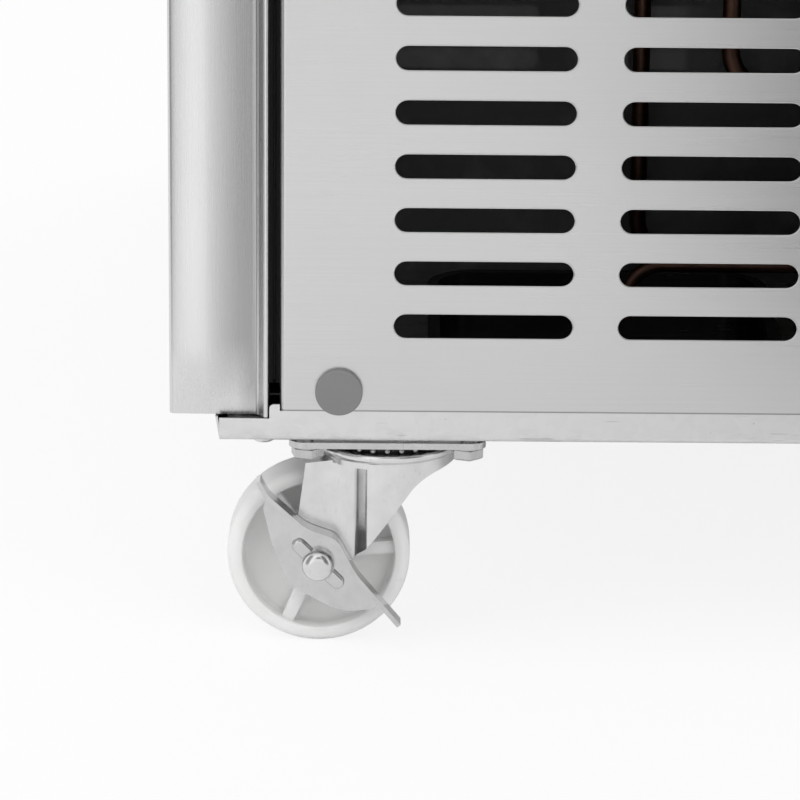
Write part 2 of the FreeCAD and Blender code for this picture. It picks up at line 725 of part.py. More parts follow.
def machine_lining():
    """The dark sheet that covers the foam beside and over the machine compartment."""
    path = [(MACHINE_X, BASE_FLOOR, 0), (MACHINE_X, MACHINE_TOP, 0), (FOAM_X, MACHINE_TOP, 0)]
    return folded(path, -LINER_SHEET, on_xz(FOAM_FRONT), V(0, FOAM_BACK - FOAM_FRONT, 0))


def room_section(inset):
    """The cold room seen from the front, stepped over the machine compartment."""
    return [(-ROOM_X + inset, ROOM_FLOOR + inset, 0), (STEP_X - inset, ROOM_FLOOR + inset, 0),
            (STEP_X - inset, STEP_TOP + inset, 0), (ROOM_X - inset, STEP_TOP + inset, 0),
            (ROOM_X - inset, ROOM_TOP - inset, 0), (-ROOM_X + inset, ROOM_TOP - inset, 0)]


def inner_liner():
    """A thin stepped shell, open at the front."""
    outer = prism(room_section(0.0), on_xz(FRAME_BACK), V(0, ROOM_BACK - FRAME_BACK, 0))
    hollow = prism(room_section(LINER_SHEET), on_xz(FRAME_BACK), V(0, INSIDE_BACK - FRAME_BACK, 0))
    return outer.cut(hollow)


def front_frame():
    """The flat stiles and rails that the gaskets seal on, and the hollow post between the doors."""
    stile_x = BODY_X - PANEL_FLANGE
    half_post = POST_WIDTH / 2
    flats = [
        box(-stile_x, -ROOM_X, BODY_FRONT, FRAME_BACK, PANEL_BOTTOM, BODY_TOP),
        box(ROOM_X, stile_x, BODY_FRONT, FRAME_BACK, PANEL_BOTTOM, BODY_TOP),
        box(-ROOM_X, ROOM_X, BODY_FRONT, FRAME_BACK, ROOM_TOP, BODY_TOP),
        box(-ROOM_X, STEP_X, BODY_FRONT, FRAME_BACK, PANEL_BOTTOM, ROOM_FLOOR)]
    post = box(-half_post, half_post, BODY_FRONT, POST_BACK, ROOM_FLOOR + LINER_SHEET, INSIDE_TOP)
    bore = box(-half_post + POST_WALL, half_post - POST_WALL, BODY_FRONT + POST_WALL, POST_BACK - POST_WALL,
               ROOM_FLOOR + LINER_SHEET, INSIDE_TOP)
    return group(flats + [post.cut(bore)])


def cover_screw_places():
    """The centres of the screws in the machine cover."""
    xs = (STEP_X + SCREW_INSET, (STEP_X + ROOM_X) / 2, ROOM_X - SCREW_INSET)
    zs = (STEP_TOP - SCREW_INSET, (STEP_TOP + PANEL_BOTTOM) / 2)
    return [(x, z) for x in xs[::2] for z in zs] + [(xs[1], zs[0])]


def machine_cover():
    """The removable plate in front of the machine compartment."""
    plate = box(STEP_X, ROOM_X, BODY_FRONT, FRAME_BACK, PANEL_BOTTOM, STEP_TOP)
    holes = [rod(SCREW_RADIUS, V(x, BODY_FRONT, z), REARWARD, FRAME_SHEET) for x, z in cover_screw_places()]
    return plate.cut(group(holes))


# Control fascia


def thermostat_centre():
    return BODY_X - CONTROL_FROM_END, (FASCIA_BOTTOM + BODY_TOP) / 2


def switch_centre():
    x, z = thermostat_centre()
    return x - SWITCH_SPACING, z


def control_fascia():
    """A folded strip over the doors, with its two ends closed and its back open."""
    depth = BODY_FRONT - DOOR_FRONT
    section = [(BODY_FRONT, FASCIA_BOTTOM, 0), (DOOR_FRONT, FASCIA_BOTTOM, FASCIA_RADIUS),
               (DOOR_FRONT, BODY_TOP, FASCIA_RADIUS), (BODY_FRONT, BODY_TOP, 0)]
    outer = prism(section, on_yz(-BODY_X), V(2 * BODY_X, 0, 0))
    hollow = box(-BODY_X + SHEET, BODY_X - SHEET, DOOR_FRONT + SHEET, BODY_FRONT,
                 FASCIA_BOTTOM + SHEET, BODY_TOP - SHEET)
    x, z = thermostat_centre()
    cut_out = box(x - THERMOSTAT_WIDTH / 2, x + THERMOSTAT_WIDTH / 2, DOOR_FRONT, DOOR_FRONT + depth / 2,
                  z - THERMOSTAT_HEIGHT / 2, z + THERMOSTAT_HEIGHT / 2)
    sx, sz = switch_centre()
    switch_hole = box(sx - SWITCH_WIDTH / 2, sx + SWITCH_WIDTH / 2, DOOR_FRONT, DOOR_FRONT + depth / 2,
                      sz - SWITCH_HEIGHT / 2, sz + SWITCH_HEIGHT / 2)
    return outer.cut(group([hollow, cut_out, switch_hole]))


def window_box():
    """The corners of the display window in the thermostat bezel."""
    x, z = thermostat_centre()
    left = x - THERMOSTAT_WIDTH / 2 + BEZEL
    return left, left + WINDOW_WIDTH, z - WINDOW_HEIGHT / 2, z + WINDOW_HEIGHT / 2


def button_centres():
    """The centres of the two keys, one over the other to the right of the window."""
    x, z = thermostat_centre()
    column = (window_box()[1] + x + THERMOSTAT_WIDTH / 2 + BEZEL) / 2
    return {"button_up": (column, z + BUTTON_PITCH / 2), "button_down": (column, z - BUTTON_PITCH / 2)}


def thermostat_case():
    """A panel instrument: a bezel on the fascia and a body through it."""
    x, z = thermostat_centre()
    bezel_front = DOOR_FRONT - BEZEL_PROUD
    bezel = box(x - THERMOSTAT_WIDTH / 2 - BEZEL, x + THERMOSTAT_WIDTH / 2 + BEZEL, bezel_front, DOOR_FRONT,
                z - THERMOSTAT_HEIGHT / 2 - BEZEL, z + THERMOSTAT_HEIGHT / 2 + BEZEL)
    front_edges = [edge for edge in bezel.Edges if edge.CenterOfMass.y < bezel_front + NEAR]
    bezel = bezel.makeFillet(BEZEL_PROUD / 3, front_edges)
    body = box(x - THERMOSTAT_WIDTH / 2, x + THERMOSTAT_WIDTH / 2, DOOR_FRONT, DOOR_FRONT + THERMOSTAT_DEPTH,
               z - THERMOSTAT_HEIGHT / 2, z + THERMOSTAT_HEIGHT / 2)
    x0, x1, z0, z1 = window_box()
    cuts = [box(x0, x1, bezel_front, bezel_front + WINDOW_DEPTH, z0, z1)]
    for bx, bz in button_centres().values():
        half = BUTTON_SIZE / 2 + BUTTON_CLEARANCE
        depth = BUTTON_DEPTH + BUTTON_TRAVEL + BUTTON_CLEARANCE
        cuts.append(box(bx - half, bx + half, bezel_front, bezel_front + depth, bz - half, bz + half))
    return fused([bezel, body]).cut(group(cuts))


def thermostat_window():
    x0, x1, z0, z1 = window_box()
    front = DOOR_FRONT - BEZEL_PROUD
    return box(x0, x1, front, front + WINDOW_DEPTH, z0, z1)


def button(name):
    """A square key with softened front edges."""
    bx, bz = button_centres()[name]
    half = BUTTON_SIZE / 2
    front = DOOR_FRONT - BEZEL_PROUD
    key = box(bx - half, bx + half, front - BUTTON_PROUD, front + BUTTON_DEPTH, bz - half, bz + half)
    return key.makeFillet(BUTTON_PROUD / 3, [edge for edge in key.Edges if edge.CenterOfMass.y < front])


def switch_frame():
    """The rocker's housing: a rim on the fascia, a well through it and a pivot bar across the well."""
    x, z = switch_centre()
    half_x = SWITCH_WIDTH / 2
    half_z = SWITCH_HEIGHT / 2
    rim = box(x - half_x - SWITCH_WALL, x + half_x + SWITCH_WALL, DOOR_FRONT - SWITCH_WALL, DOOR_FRONT,
              z - half_z - SWITCH_WALL, z + half_z + SWITCH_WALL)
    body = box(x - half_x, x + half_x, DOOR_FRONT, DOOR_FRONT + SWITCH_DEPTH, z - half_z, z + half_z)
    well = box(x - half_x + SWITCH_WALL, x + half_x - SWITCH_WALL, DOOR_FRONT - SWITCH_WALL,
               DOOR_FRONT + SWITCH_DEPTH - SWITCH_WALL, z - half_z + SWITCH_WALL, z + half_z - SWITCH_WALL)
    bar = rod(ROCKER_AXLE, V(x - half_x + SWITCH_WALL, rocker_axis_y(), z), ACROSS,
              SWITCH_WIDTH - 2 * SWITCH_WALL)
    return fused([fused([rim, body]).cut(well), bar])


def rocker_axis_y():
    return DOOR_FRONT + SWITCH_WALL + ROCKER_AXLE


def power_switch():
    """A rocker with two slightly dished halves on the bar through its middle, tilted to its off position."""
    x, z = switch_centre()
    half_x = SWITCH_WIDTH / 2 - SWITCH_WALL - ROCKER_CLEARANCE
    half_z = SWITCH_HEIGHT / 2 - SWITCH_WALL - ROCKER_CLEARANCE
    axis = rocker_axis_y()
    lift = half_z * math.sin(math.radians(ROCKER_TILT))
    front = DOOR_FRONT - SWITCH_WALL
    tip = half_z - ROCKER_EDGE
    side = [(front - lift, z - tip, 0), (front, z, ROCKER_DISH_RADIUS), (front - lift, z + tip, 0),
            (axis, z + tip, 0), (axis + 2 * ROCKER_AXLE, z + ROCKER_AXLE, 0),
            (axis + 2 * ROCKER_AXLE, z - ROCKER_AXLE, 0), (axis, z - tip, 0)]
    solid = prism(side, on_yz(x - half_x), V(2 * half_x, 0, 0))
    rocker = solid.cut(rod(ROCKER_AXLE + ROCKER_AXLE_CLEARANCE, V(x - half_x, axis, z), ACROSS, 2 * half_x))
    rocker.rotate(V(x, axis, z), ACROSS, ROCKER_TILT)
    return rocker


# Doors and hinges


def door_span(side):
    """The left and right edges of a door."""
    near, far = DOOR_GAP / 2, BODY_X
    return (near, far) if side > 0 else (-far, -near)


def door_plan(left, right, swell):
    """The door from above: each upright edge swells out from the front, falls back and ends in a lip."""
    crest_y = DOOR_FRONT + DOOR_CREST_AT * DOOR_THICKNESS
    hollow_y = DOOR_BACK - DOOR_LIP - DOOR_LIP_RUN
    hollow = DOOR_LIP_STEP + (DOOR_EDGE_RAKE - DOOR_LIP_STEP) * (1 - swell / DOOR_EDGE_RAKE)

    def edge(x, inward):
        return [(x, DOOR_BACK, DOOR_BACK_RADIUS), (x, DOOR_BACK - DOOR_LIP, DOOR_LIP_RADIUS),
                (x + inward * hollow, hollow_y, DOOR_HOLLOW_RADIUS),
                (x + inward * (DOOR_EDGE_RAKE - swell), crest_y, DOOR_EDGE_RADIUS),
                (x + inward * DOOR_EDGE_RAKE, DOOR_FRONT, DOOR_CORNER_RADIUS)]

    return edge(left, 1.0) + edge(right, -1.0)[::-1]


def door_body(side, inset):
    """A door inside its outer face by an inset: the swell of its edges runs out flat above and below."""
    height = DOOR_TOP - DOOR_BOTTOM
    run_out = [index / DOOR_RUN_OUT_STEPS for index in range(DOOR_RUN_OUT_STEPS + 1)]
    levels = [(share * DOOR_RUN_OUT, share) for share in run_out]
    levels += [(height - rise, share) for rise, share in levels[::-1]]
    levels[0] = (inset, 0.0)
    levels[-1] = (height - inset, 0.0)
    sections = []
    for rise, share in levels:
        eased = share * share * (3 - 2 * share)
        swell = DOOR_LEAST_SWELL + (DOOR_EDGE_RAKE - DOOR_LEAST_SWELL) * eased
        plan = door_plan(*door_span(side), swell)
        if inset:
            plan = shifted(plan, inset, True)
        sections.append(Part.Wire(path_edges(plan, on_xy(DOOR_BOTTOM + rise), True)))
    return Part.makeLoft(sections, True, True)


def door_window(side, margin):
    """The corners of a door's back, drawn inside its edges by a margin."""
    left, right = door_span(side)
    return left + margin, right - margin, DOOR_BOTTOM + margin, DOOR_TOP - margin


def door_skin(side):
    """The bent outer shell of a door, closed above and below, with a narrow return round its back."""
    outer = door_body(side, 0.0)
    cavity = door_body(side, SHEET)
    x0, x1, z0, z1 = door_window(side, DOOR_RETURN)
    back_opening = box(x0, x1, DOOR_BACK - SHEET, DOOR_BACK, z0, z1)
    return outer.cut(group([cavity, back_opening, pivot_hole(side, BUSH_RADIUS)]))


def pivot_hole(side, radius):
    """A hole through the whole height of a door at its pivot."""
    return rod(radius, V(side * PIVOT_X, PIVOT_Y, DOOR_BOTTOM), UP, DOOR_TOP - DOOR_BOTTOM)


def bush_length():
    return PIVOT_LENGTH + HINGE_CLEARANCE


def door_bushes(side):
    """The two closed bushes that turn on the hinge pins."""
    bushes = []
    for z, direction in ((DOOR_BOTTOM, UP), (DOOR_TOP, -UP)):
        start = V(side * PIVOT_X, PIVOT_Y, z)
        body = rod(BUSH_RADIUS, start, direction, bush_length() + 2 * SHEET)
        bushes.append(body.cut(rod(PIVOT_RADIUS + PIVOT_CLEARANCE, start, direction, bush_length())))
    return group(bushes)


def door_foam(side):
    """The foam that fills a door in front of its liner, bored for the bushes."""
    x0, x1, z0, z1 = door_window(side, DOOR_RETURN)
    liner_room = box(x0, x1, DOOR_BACK - DOOR_LINER, DOOR_BACK, z0, z1)
    bores = []
    for z, direction in ((DOOR_BOTTOM, UP), (DOOR_TOP, -UP)):
        bores.append(rod(BUSH_RADIUS, V(side * PIVOT_X, PIVOT_Y, z), direction, bush_length() + 2 * SHEET))
    return door_body(side, SHEET).cut(group([liner_room] + bores))


def door_liner(side):
    """The inner panel of a door, set in the return, with a shallow raised field."""
    x0, x1, z0, z1 = door_window(side, DOOR_RETURN)
    plate = box(x0, x1, DOOR_BACK - DOOR_LINER, DOOR_BACK, z0, z1)
    x0, x1, z0, z1 = door_window(side, GASKET_EDGE + GASKET_WIDTH + 2 * DOOR_RETURN)
    field = [(x0, z0, DOOR_RETURN), (x1, z0, DOOR_RETURN), (x1, z1, DOOR_RETURN), (x0, z1, DOOR_RETURN)]
    return fused([plate, prism(field, on_xz(DOOR_BACK), V(0, GASKET_GAP / 2, 0))])


def door_gasket(side):
    """A magnetic seal with a groove round its outside."""
    def frame(margin, width, y0, y1):
        x0, x1, z0, z1 = door_window(side, margin)
        outer = box(x0, x1, y0, y1, z0, z1)
        return outer.cut(box(x0 + width, x1 - width, y0, y1, z0 + width, z1 - width))

    middle = DOOR_BACK + GASKET_GAP / 2
    seal = frame(GASKET_EDGE, GASKET_WIDTH, DOOR_BACK, BODY_FRONT)
    groove = frame(GASKET_EDGE, GASKET_GROOVE_DEPTH, middle - GASKET_GROOVE / 2, middle + GASKET_GROOVE / 2)
    return seal.cut(groove)


def hinge_bolt_places():
    """The bolt that holds each bottom hinge bracket down."""
    x = BODY_X - HINGE_BOLT_INSET
    y = BODY_FRONT - (PIVOT_AHEAD - PIVOT_RADIUS) / 2
    return [(x, y), (-x, y)]


def hinges():
    """Top plates under the fascia and bottom brackets on the base tongue, each with its pin."""
    x0 = BODY_X - HINGE_LENGTH
    x1 = BODY_X - BASE_SHEET
    front = TONGUE_FRONT + BASE_SHEET
    plate = box(x0, x1, PIVOT_Y - BUSH_RADIUS, BODY_FRONT, FASCIA_BOTTOM - HINGE_PLATE, FASCIA_BOTTOM)
    pin_top = V(PIVOT_X, PIVOT_Y, FASCIA_BOTTOM - HINGE_PLATE)
    upper = fused([plate, rod(PIVOT_RADIUS, pin_top, -UP, PIVOT_LENGTH)])
    bracket = box(x0, x1 - RAIL_BEND_RADIUS, front + RAIL_BEND_RADIUS, BODY_FRONT, BASE_FLOOR, TONGUE_TOP)
    channel = box(x0 + HINGE_PLATE, x1 - RAIL_BEND_RADIUS - HINGE_PLATE, front, BODY_FRONT,
                  BASE_FLOOR, TONGUE_TOP - HINGE_PLATE)
    pin_bottom = V(PIVOT_X, PIVOT_Y, TONGUE_TOP - HINGE_PLATE)
    lower = fused([bracket.cut(channel), rod(PIVOT_RADIUS, pin_bottom, UP, PIVOT_LENGTH + HINGE_PLATE)])
    bx, by = hinge_bolt_places()[0]
    lower = lower.cut(rod(SCREW_RADIUS, V(bx, by, BASE_FLOOR), UP, TONGUE_HEIGHT))
    return group([upper, lower, mirrored(upper), mirrored(lower)])


# Shelves


def upright_y():
    """The middles of the front and rear uprights on the side walls."""
    return BODY_FRONT + UPRIGHT_FROM_FRONT, INSIDE_BACK - UPRIGHT_FROM_FRONT


def shelf_uprights():
    """Channels on both side walls, behind the post and on the back wall."""
    half = UPRIGHT_WIDTH / 2

    def channel(corners, bottom, top):
        return folded(corners, UPRIGHT_SHEET, on_xy(bottom), V(0, 0, top - bottom))

    uprights = []
    low = INSIDE_FLOOR + UPRIGHT_MARGIN
    high = INSIDE_STEP_TOP + UPRIGHT_MARGIN / 2
    top = INSIDE_TOP - UPRIGHT_MARGIN
    for wall, inward, bottom in ((-INSIDE_X, 1.0, low), (INSIDE_X, -1.0, high)):
        crown = wall + inward * UPRIGHT_DEPTH
        for y in upright_y():
            ends = (y - half, y + half) if inward > 0 else (y + half, y - half)
            corners = [(wall, ends[0], 0), (crown, ends[0], 0), (crown, ends[1], 0), (wall, ends[1], 0)]
            uprights.append(channel(corners, bottom, top))
    below_hood = cover_bounds()[2] - UPRIGHT_MARGIN / 2
    for wall, inward, top in ((POST_BACK, 1.0, top), (INSIDE_BACK, -1.0, below_hood)):
        crown = wall + inward * UPRIGHT_DEPTH
        ends = (half, -half) if inward > 0 else (-half, half)
        corners = [(ends[0], wall, 0), (ends[0], crown, 0), (ends[1], crown, 0), (ends[1], wall, 0)]
        uprights.append(channel(corners, low, top))
    return group(uprights)


def shelf_clips():
    """The rests that hook in the uprights and carry the shelves."""
    top = SHELF_HEIGHT
    bottom = top - CLIP_THICKNESS
    half = CLIP_WIDTH / 2
    clips = []
    for side in SIDES.values():
        wall = side * (INSIDE_X - UPRIGHT_DEPTH)
        for y in upright_y():
            clips.append(box(wall, wall - side * CLIP_REACH, y - half, y + half, bottom, top))
    span = POST_WIDTH / 2 + SHELF_SIDE_GAP + CLIP_REACH
    for wall, inward in ((POST_BACK, 1.0), (INSIDE_BACK, -1.0)):
        crown = wall + inward * UPRIGHT_DEPTH
        clips.append(box(-span, span, crown, crown + inward * (CLIP_REACH + SHELF_FRONT_GAP), bottom, top))
    return group(clips)


def shelf_bounds(side):
    """The outer edges of a shelf's frame."""
    inner = POST_WIDTH / 2 + SHELF_SIDE_GAP
    outer = INSIDE_X - UPRIGHT_DEPTH - SHELF_SIDE_GAP / 4
    x0, x1 = (inner, outer) if side > 0 else (-outer, -inner)
    return x0, x1, POST_BACK + UPRIGHT_DEPTH + SHELF_FRONT_GAP, INSIDE_BACK - UPRIGHT_DEPTH - SHELF_FRONT_GAP


def shelf(side):
    """A wire shelf: a thick frame, two cross bars and close wires from front to back."""
    x0, x1, y0, y1 = shelf_bounds(side)
    thick = SHELF_FRAME_WIRE / 2
    level = SHELF_HEIGHT + thick
    ends_x = (x0 + thick, x1 - thick)
    ends_y = (y0 + thick, y1 - thick)
    wires = [rod(thick, V(x, y0, level), REARWARD, y1 - y0) for x in ends_x]
    wires += [rod(thick, V(x0, y, level), ACROSS, x1 - x0) for y in ends_y]
    wires.append(rod(thick, V(x0, (y0 + y1) / 2, level), ACROSS, x1 - x0))
    pitch = (ends_x[1] - ends_x[0]) / (SHELF_WIRES + 1)
    for index in range(SHELF_WIRES):
        x = ends_x[0] + pitch * (index + 1)
        wires.append(rod(SHELF_WIRE / 2, V(x, y0 + thick, level + thick / 2), REARWARD, y1 - y0 - 2 * thick))
    return fused(wires)


def shelves():
    return group([shelf(side) for side in SIDES.values()])


# Refrigeration


def coil_rows(height):
    """How many rows of tube a coil of a height holds."""
    return max(2, int(height / COIL_ROW_PITCH))


def return_bend(centre, radius, turn):
    """Half a ring of coil tube lying level, bulging rearward before it is turned."""
    bend = Part.makeTorus(radius, COIL_TUBE / 2, V(0, 0, 0), UP, 0, 360, 180)
    bend.rotate(V(0, 0, 0), UP, turn)
    return moved(bend, centre)


def finned_coil(width, depth, height, pitch, corner):
    """A block of flat fins on rows of hairpin tube, with thicker end plates."""
    x0, y0, z0 = corner
    end = COIL_END_PLATE
    plates = [box(x0, x0 + end, y0, y0 + depth, z0, z0 + height),
              box(x0 + width - end, x0 + width, y0, y0 + depth, z0, z0 + height)]
    count = int((width - 2 * end) / pitch)
    step = (width - end) / (count + 1)
    margin = COIL_TUBE / 2
    for index in range(count):
        x = x0 + end / 2 + step * (index + 1)
        plates.append(box(x - FIN / 2, x + FIN / 2, y0, y0 + depth, z0 + margin, z0 + height - margin))
    rows = coil_rows(height)
    tubes = []
    near_y = y0 + depth * COIL_TUBE_SHARE
    far_y = y0 + depth * (1 - COIL_TUBE_SHARE)
    for row in range(rows):
        z = z0 + height * (row + 0.5) / rows
        for y in (near_y, far_y):
            tubes.append(rod(COIL_TUBE / 2, V(x0 - COIL_STUB, y, z), ACROSS, width + 2 * COIL_STUB))
        for x, turn in ((x0 - COIL_STUB, 90), (x0 + width + COIL_STUB, -90)):
            tubes.append(return_bend(V(x, (near_y + far_y) / 2, z), (far_y - near_y) / 2, turn))
    return fused(plates + tubes)


def fan_rotor(radius):
    """A fan about the Y axis, its hub bored for the shaft, the blades set at a pitch."""
    hub = rod(FAN_HUB_RADIUS, V(0, 0, 0), REARWARD, FAN_DEPTH)
    blades = []
    for index in range(FAN_BLADES):
        blade = box(0, radius, FAN_DEPTH / 2 - BLADE_THICKNESS / 2, FAN_DEPTH / 2 + BLADE_THICKNESS / 2,
                    -radius / 3, radius / 3)
        blade.rotate(V(0, FAN_DEPTH / 2, 0), ACROSS, BLADE_PITCH)
        blade.rotate(V(0, 0, 0), REARWARD, 360.0 * index / FAN_BLADES)
        blades.append(blade)
    swept = fused([hub] + blades).common(rod(radius, V(0, 0, 0), REARWARD, FAN_DEPTH))
    return swept.cut(rod(SHAFT_RADIUS + SHAFT_CLEARANCE, V(0, 0, 0), REARWARD, FAN_DEPTH))


def fan_motor(ring_radius):
    """A motor behind a rotor at the origin: its shaft, its can and four arms to the shroud's ring."""
    start = FAN_DEPTH + MOTOR_GAP
    can = rod(MOTOR_RADIUS, V(0, start, 0), REARWARD, MOTOR_LENGTH)
    shaft = rod(SHAFT_RADIUS, V(0, 0, 0), REARWARD, start)
    half = ARM_WIDTH / 2
    arms = []
    for turn in range(4):
        arm = box(0, ring_radius, start, start + ARM_THICKNESS, -half, half)
        arm.rotate(V(0, 0, 0), REARWARD, 45.0 + 90.0 * turn)
        arms.append(arm)
    return fused([can, shaft] + arms)


def moved(shape, offset):
    placed = shape.copy()
    placed.translate(offset)
    return placed


def evaporator_place():
    """The lower left front corner of the coil, held under the ceiling against the back wall."""
    y = INSIDE_BACK - EVAPORATOR_DEPTH - COVER_MARGIN / 2
    return -EVAPORATOR_WIDTH / 2, y, INSIDE_TOP - EVAPORATOR_HEIGHT


def evaporator_coil():
    return finned_coil(EVAPORATOR_WIDTH, EVAPORATOR_DEPTH, EVAPORATOR_HEIGHT, EVAPORATOR_FIN_PITCH,
                       evaporator_place())


def evaporator_fan_place():
    """The middle of the fan's front face, in the opening of the cover."""
    x0, y0, z0 = evaporator_place()
    return V(0, y0 - EVAPORATOR_SPACE, z0 + EVAPORATOR_HEIGHT / 2)


def cover_bounds():
    """The outside of the evaporator cover: half width, front, bottom."""
    x0, y0, z0 = evaporator_place()
    return -x0 + COVER_MARGIN, y0 - EVAPORATOR_SPACE, z0 - DRIP_TRAY_HEIGHT


def evaporator_cover():
    """A sheet hood from ceiling to tray, with the fan opening in front and air slots in its ends."""
    half, front, bottom = cover_bounds()
    outer = box(-half, half, front, INSIDE_BACK, bottom, INSIDE_TOP)
    hollow = box(-half + SHEET, half - SHEET, front + SHEET, INSIDE_BACK, bottom, INSIDE_TOP)
    place = evaporator_fan_place()
    opening = rod(EVAPORATOR_FAN_RADIUS + FAN_TIP_GAP, V(place.x, front, place.z), REARWARD, SHEET)
    slots = []
    for row in range(AIR_SLOT_ROWS):
        z = place.z + (row - (AIR_SLOT_ROWS - 1) / 2) * AIR_SLOT_PITCH
        y = evaporator_place()[1] + EVAPORATOR_DEPTH / 2
        for x in (-half, half - SHEET):
            slots.append(obround((y, z), AIR_SLOT_LENGTH, AIR_SLOT_HEIGHT, on_yz(x), V(SHEET, 0, 0)))
    return outer.cut(group([hollow, opening] + slots))


def drip_tray():
    """The tray inside the hood's lower edge, with a drain spigot that turns into the back wall."""
    half, front, bottom = cover_bounds()
    outer = box(-half + SHEET, half - SHEET, front + SHEET, INSIDE_BACK, bottom, bottom + DRIP_TRAY_HEIGHT)
    hollow = box(-half + SHEET + TRAY_WALL, half - SHEET - TRAY_WALL, front + SHEET + TRAY_WALL,
                 INSIDE_BACK - TRAY_WALL, bottom + TRAY_WALL, bottom + DRIP_TRAY_HEIGHT)
    return outer.cut(hollow)


def compressor_place():
    """The middle of the compressor at the level of its foot plate, clear of the fan's shroud."""
    x = FOAM_X - COMPRESSOR_SIDE_GAP - COMPRESSOR_RADIUS
    y = shroud_front() - COMPRESSOR_FAN_GAP - COMPRESSOR_RADIUS
    return V(x, y, BASE_FLOOR + FOOT_HEIGHT)


def compressor():
    """A hermetic can of two drawn halves with a seam, on a stamped foot plate, with its terminal hood."""
    place = compressor_place()
    radius = COMPRESSOR_RADIUS
    shell = radius - COMPRESSOR_SEAM
    seam_low = COMPRESSOR_SEAM_LEVEL - COMPRESSOR_SEAM_HEIGHT / 2
    seam_high = COMPRESSOR_SEAM_LEVEL + COMPRESSOR_SEAM_HEIGHT / 2
    profile = [(0, FOOT_PLATE, 0), (radius - COMPRESSOR_FOOT_TAPER, FOOT_PLATE, 0),
               (shell, COMPRESSOR_FOOT_HEIGHT, COMPRESSOR_FOOT_RADIUS),
               (shell, seam_low, 0), (radius, seam_low, 0), (radius, seam_high, 0), (shell, seam_high, 0),
               (shell, COMPRESSOR_HEIGHT - COMPRESSOR_SHOULDER, COMPRESSOR_SHOULDER_RADIUS),
               (COMPRESSOR_CROWN, COMPRESSOR_HEIGHT, COMPRESSOR_CROWN_RADIUS), (0, COMPRESSOR_HEIGHT, 0)]
    can = face(profile, on_xz(0)).revolve(V(0, 0, 0), UP, 360)
    corners = [(-1, -1), (1, -1), (1, 1), (-1, 1)]
    half_x = FOOT_SPACING_X / 2 + FOOT_RADIUS
    half_y = FOOT_SPACING_Y / 2 + FOOT_RADIUS
    outline = [(sx * half_x, sy * half_y, FOOT_RADIUS) for sx, sy in corners]
    plate = prism(outline, on_xy(0), V(0, 0, FOOT_PLATE))
    hood_top = seam_low - HOOD_BELOW_SEAM
    hood = box(-radius - HOOD_PROUD, -radius + HOOD_ROOT, -HOOD_WIDTH / 2, HOOD_WIDTH / 2,
               hood_top - HOOD_HEIGHT, hood_top)
    outer_edges = [edge for edge in hood.Edges if edge.CenterOfMass.x < -radius - HOOD_PROUD + NEAR]
    hood = hood.makeFillet(HOOD_EDGE_RADIUS, outer_edges)
    return moved(fused([can, plate, hood]), place)


def compressor_feet():
    """Four rubber feet between the foot plate and the base pan."""
    place = compressor_place()
    feet = []
    for sx in SIDES.values():
        for sy in SIDES.values():
            start = V(place.x + sx * FOOT_SPACING_X / 2, place.y + sy * FOOT_SPACING_Y / 2, BASE_FLOOR)
            foot = rod(FOOT_RADIUS, start, UP, FOOT_HEIGHT)
            waist = ring(FOOT_RADIUS, FOOT_WAIST_RADIUS, start + V(0, 0, FOOT_WAIST_LEVEL), UP,
                         FOOT_WAIST_HEIGHT)
            feet.append(foot.cut(waist))
    return group(feet)


def condenser_place():
    x = (MACHINE_X + FOAM_X - CONDENSER_WIDTH) / 2
    return x, BODY_BACK - CONDENSER_FROM_BACK - CONDENSER_DEPTH, BASE_FLOOR


def condenser():
    return finned_coil(CONDENSER_WIDTH, CONDENSER_DEPTH, CONDENSER_HEIGHT, CONDENSER_FIN_PITCH,
                       condenser_place())


def shroud_front():
    return condenser_place()[1] - SHROUD_DEPTH


def condenser_fan_place():
    """The middle of the fan's front face, inside the shroud's ring."""
    x, y, z = condenser_place()
    return V(x + CONDENSER_WIDTH / 2, shroud_front() - FAN_DEPTH / 2, z + CONDENSER_HEIGHT / 2)


def fan_shroud():
    """A box on the face of the condenser, with a round mouth for the fan."""
    x, y, z = condenser_place()
    front = shroud_front()
    outer = box(x, x + CONDENSER_WIDTH, front, y, z, z + CONDENSER_HEIGHT)
    hollow = box(x + SHEET, x + CONDENSER_WIDTH - SHEET, front + SHEET, y,
                 z + SHEET, z + CONDENSER_HEIGHT - SHEET)
    place = condenser_fan_place()
    mouth = rod(CONDENSER_FAN_RADIUS + FAN_TIP_GAP, V(place.x, front, place.z), REARWARD, SHROUD_DEPTH)
    return outer.cut(group([hollow, mouth]))


def fan_motors():
    """The two fan motors, the larger one held in the shroud and the smaller one in the hood."""
    return group([condenser_motor(), evaporator_motor()])


def condenser_motor():
    """The condenser's motor, whose arms reach the corners of the shroud."""
    reach = math.hypot(CONDENSER_WIDTH, CONDENSER_HEIGHT) / 2
    x, y, z = condenser_place()
    motor = moved(fan_motor(reach), condenser_fan_place())
    return motor.common(box(x + SHEET, x + CONDENSER_WIDTH - SHEET, shroud_front() - FAN_DEPTH, y,
                            z + SHEET, z + CONDENSER_HEIGHT - SHEET))


def evaporator_motor():
    """The evaporator's motor, whose arms reach the hood's ceiling and the tray."""
    half, front, bottom = cover_bounds()
    motor = moved(fan_motor(EVAPORATOR_HEIGHT), evaporator_fan_place() + V(0, SHEET, 0))
    return motor.common(box(-half, half, front, INSIDE_BACK, bottom + DRIP_TRAY_HEIGHT, INSIDE_TOP))


def line_x():
    """The lane of the lines beside the condenser, just past the stubs of its tubes."""
    return condenser_place()[0] - COIL_STUB - LINE_GAP


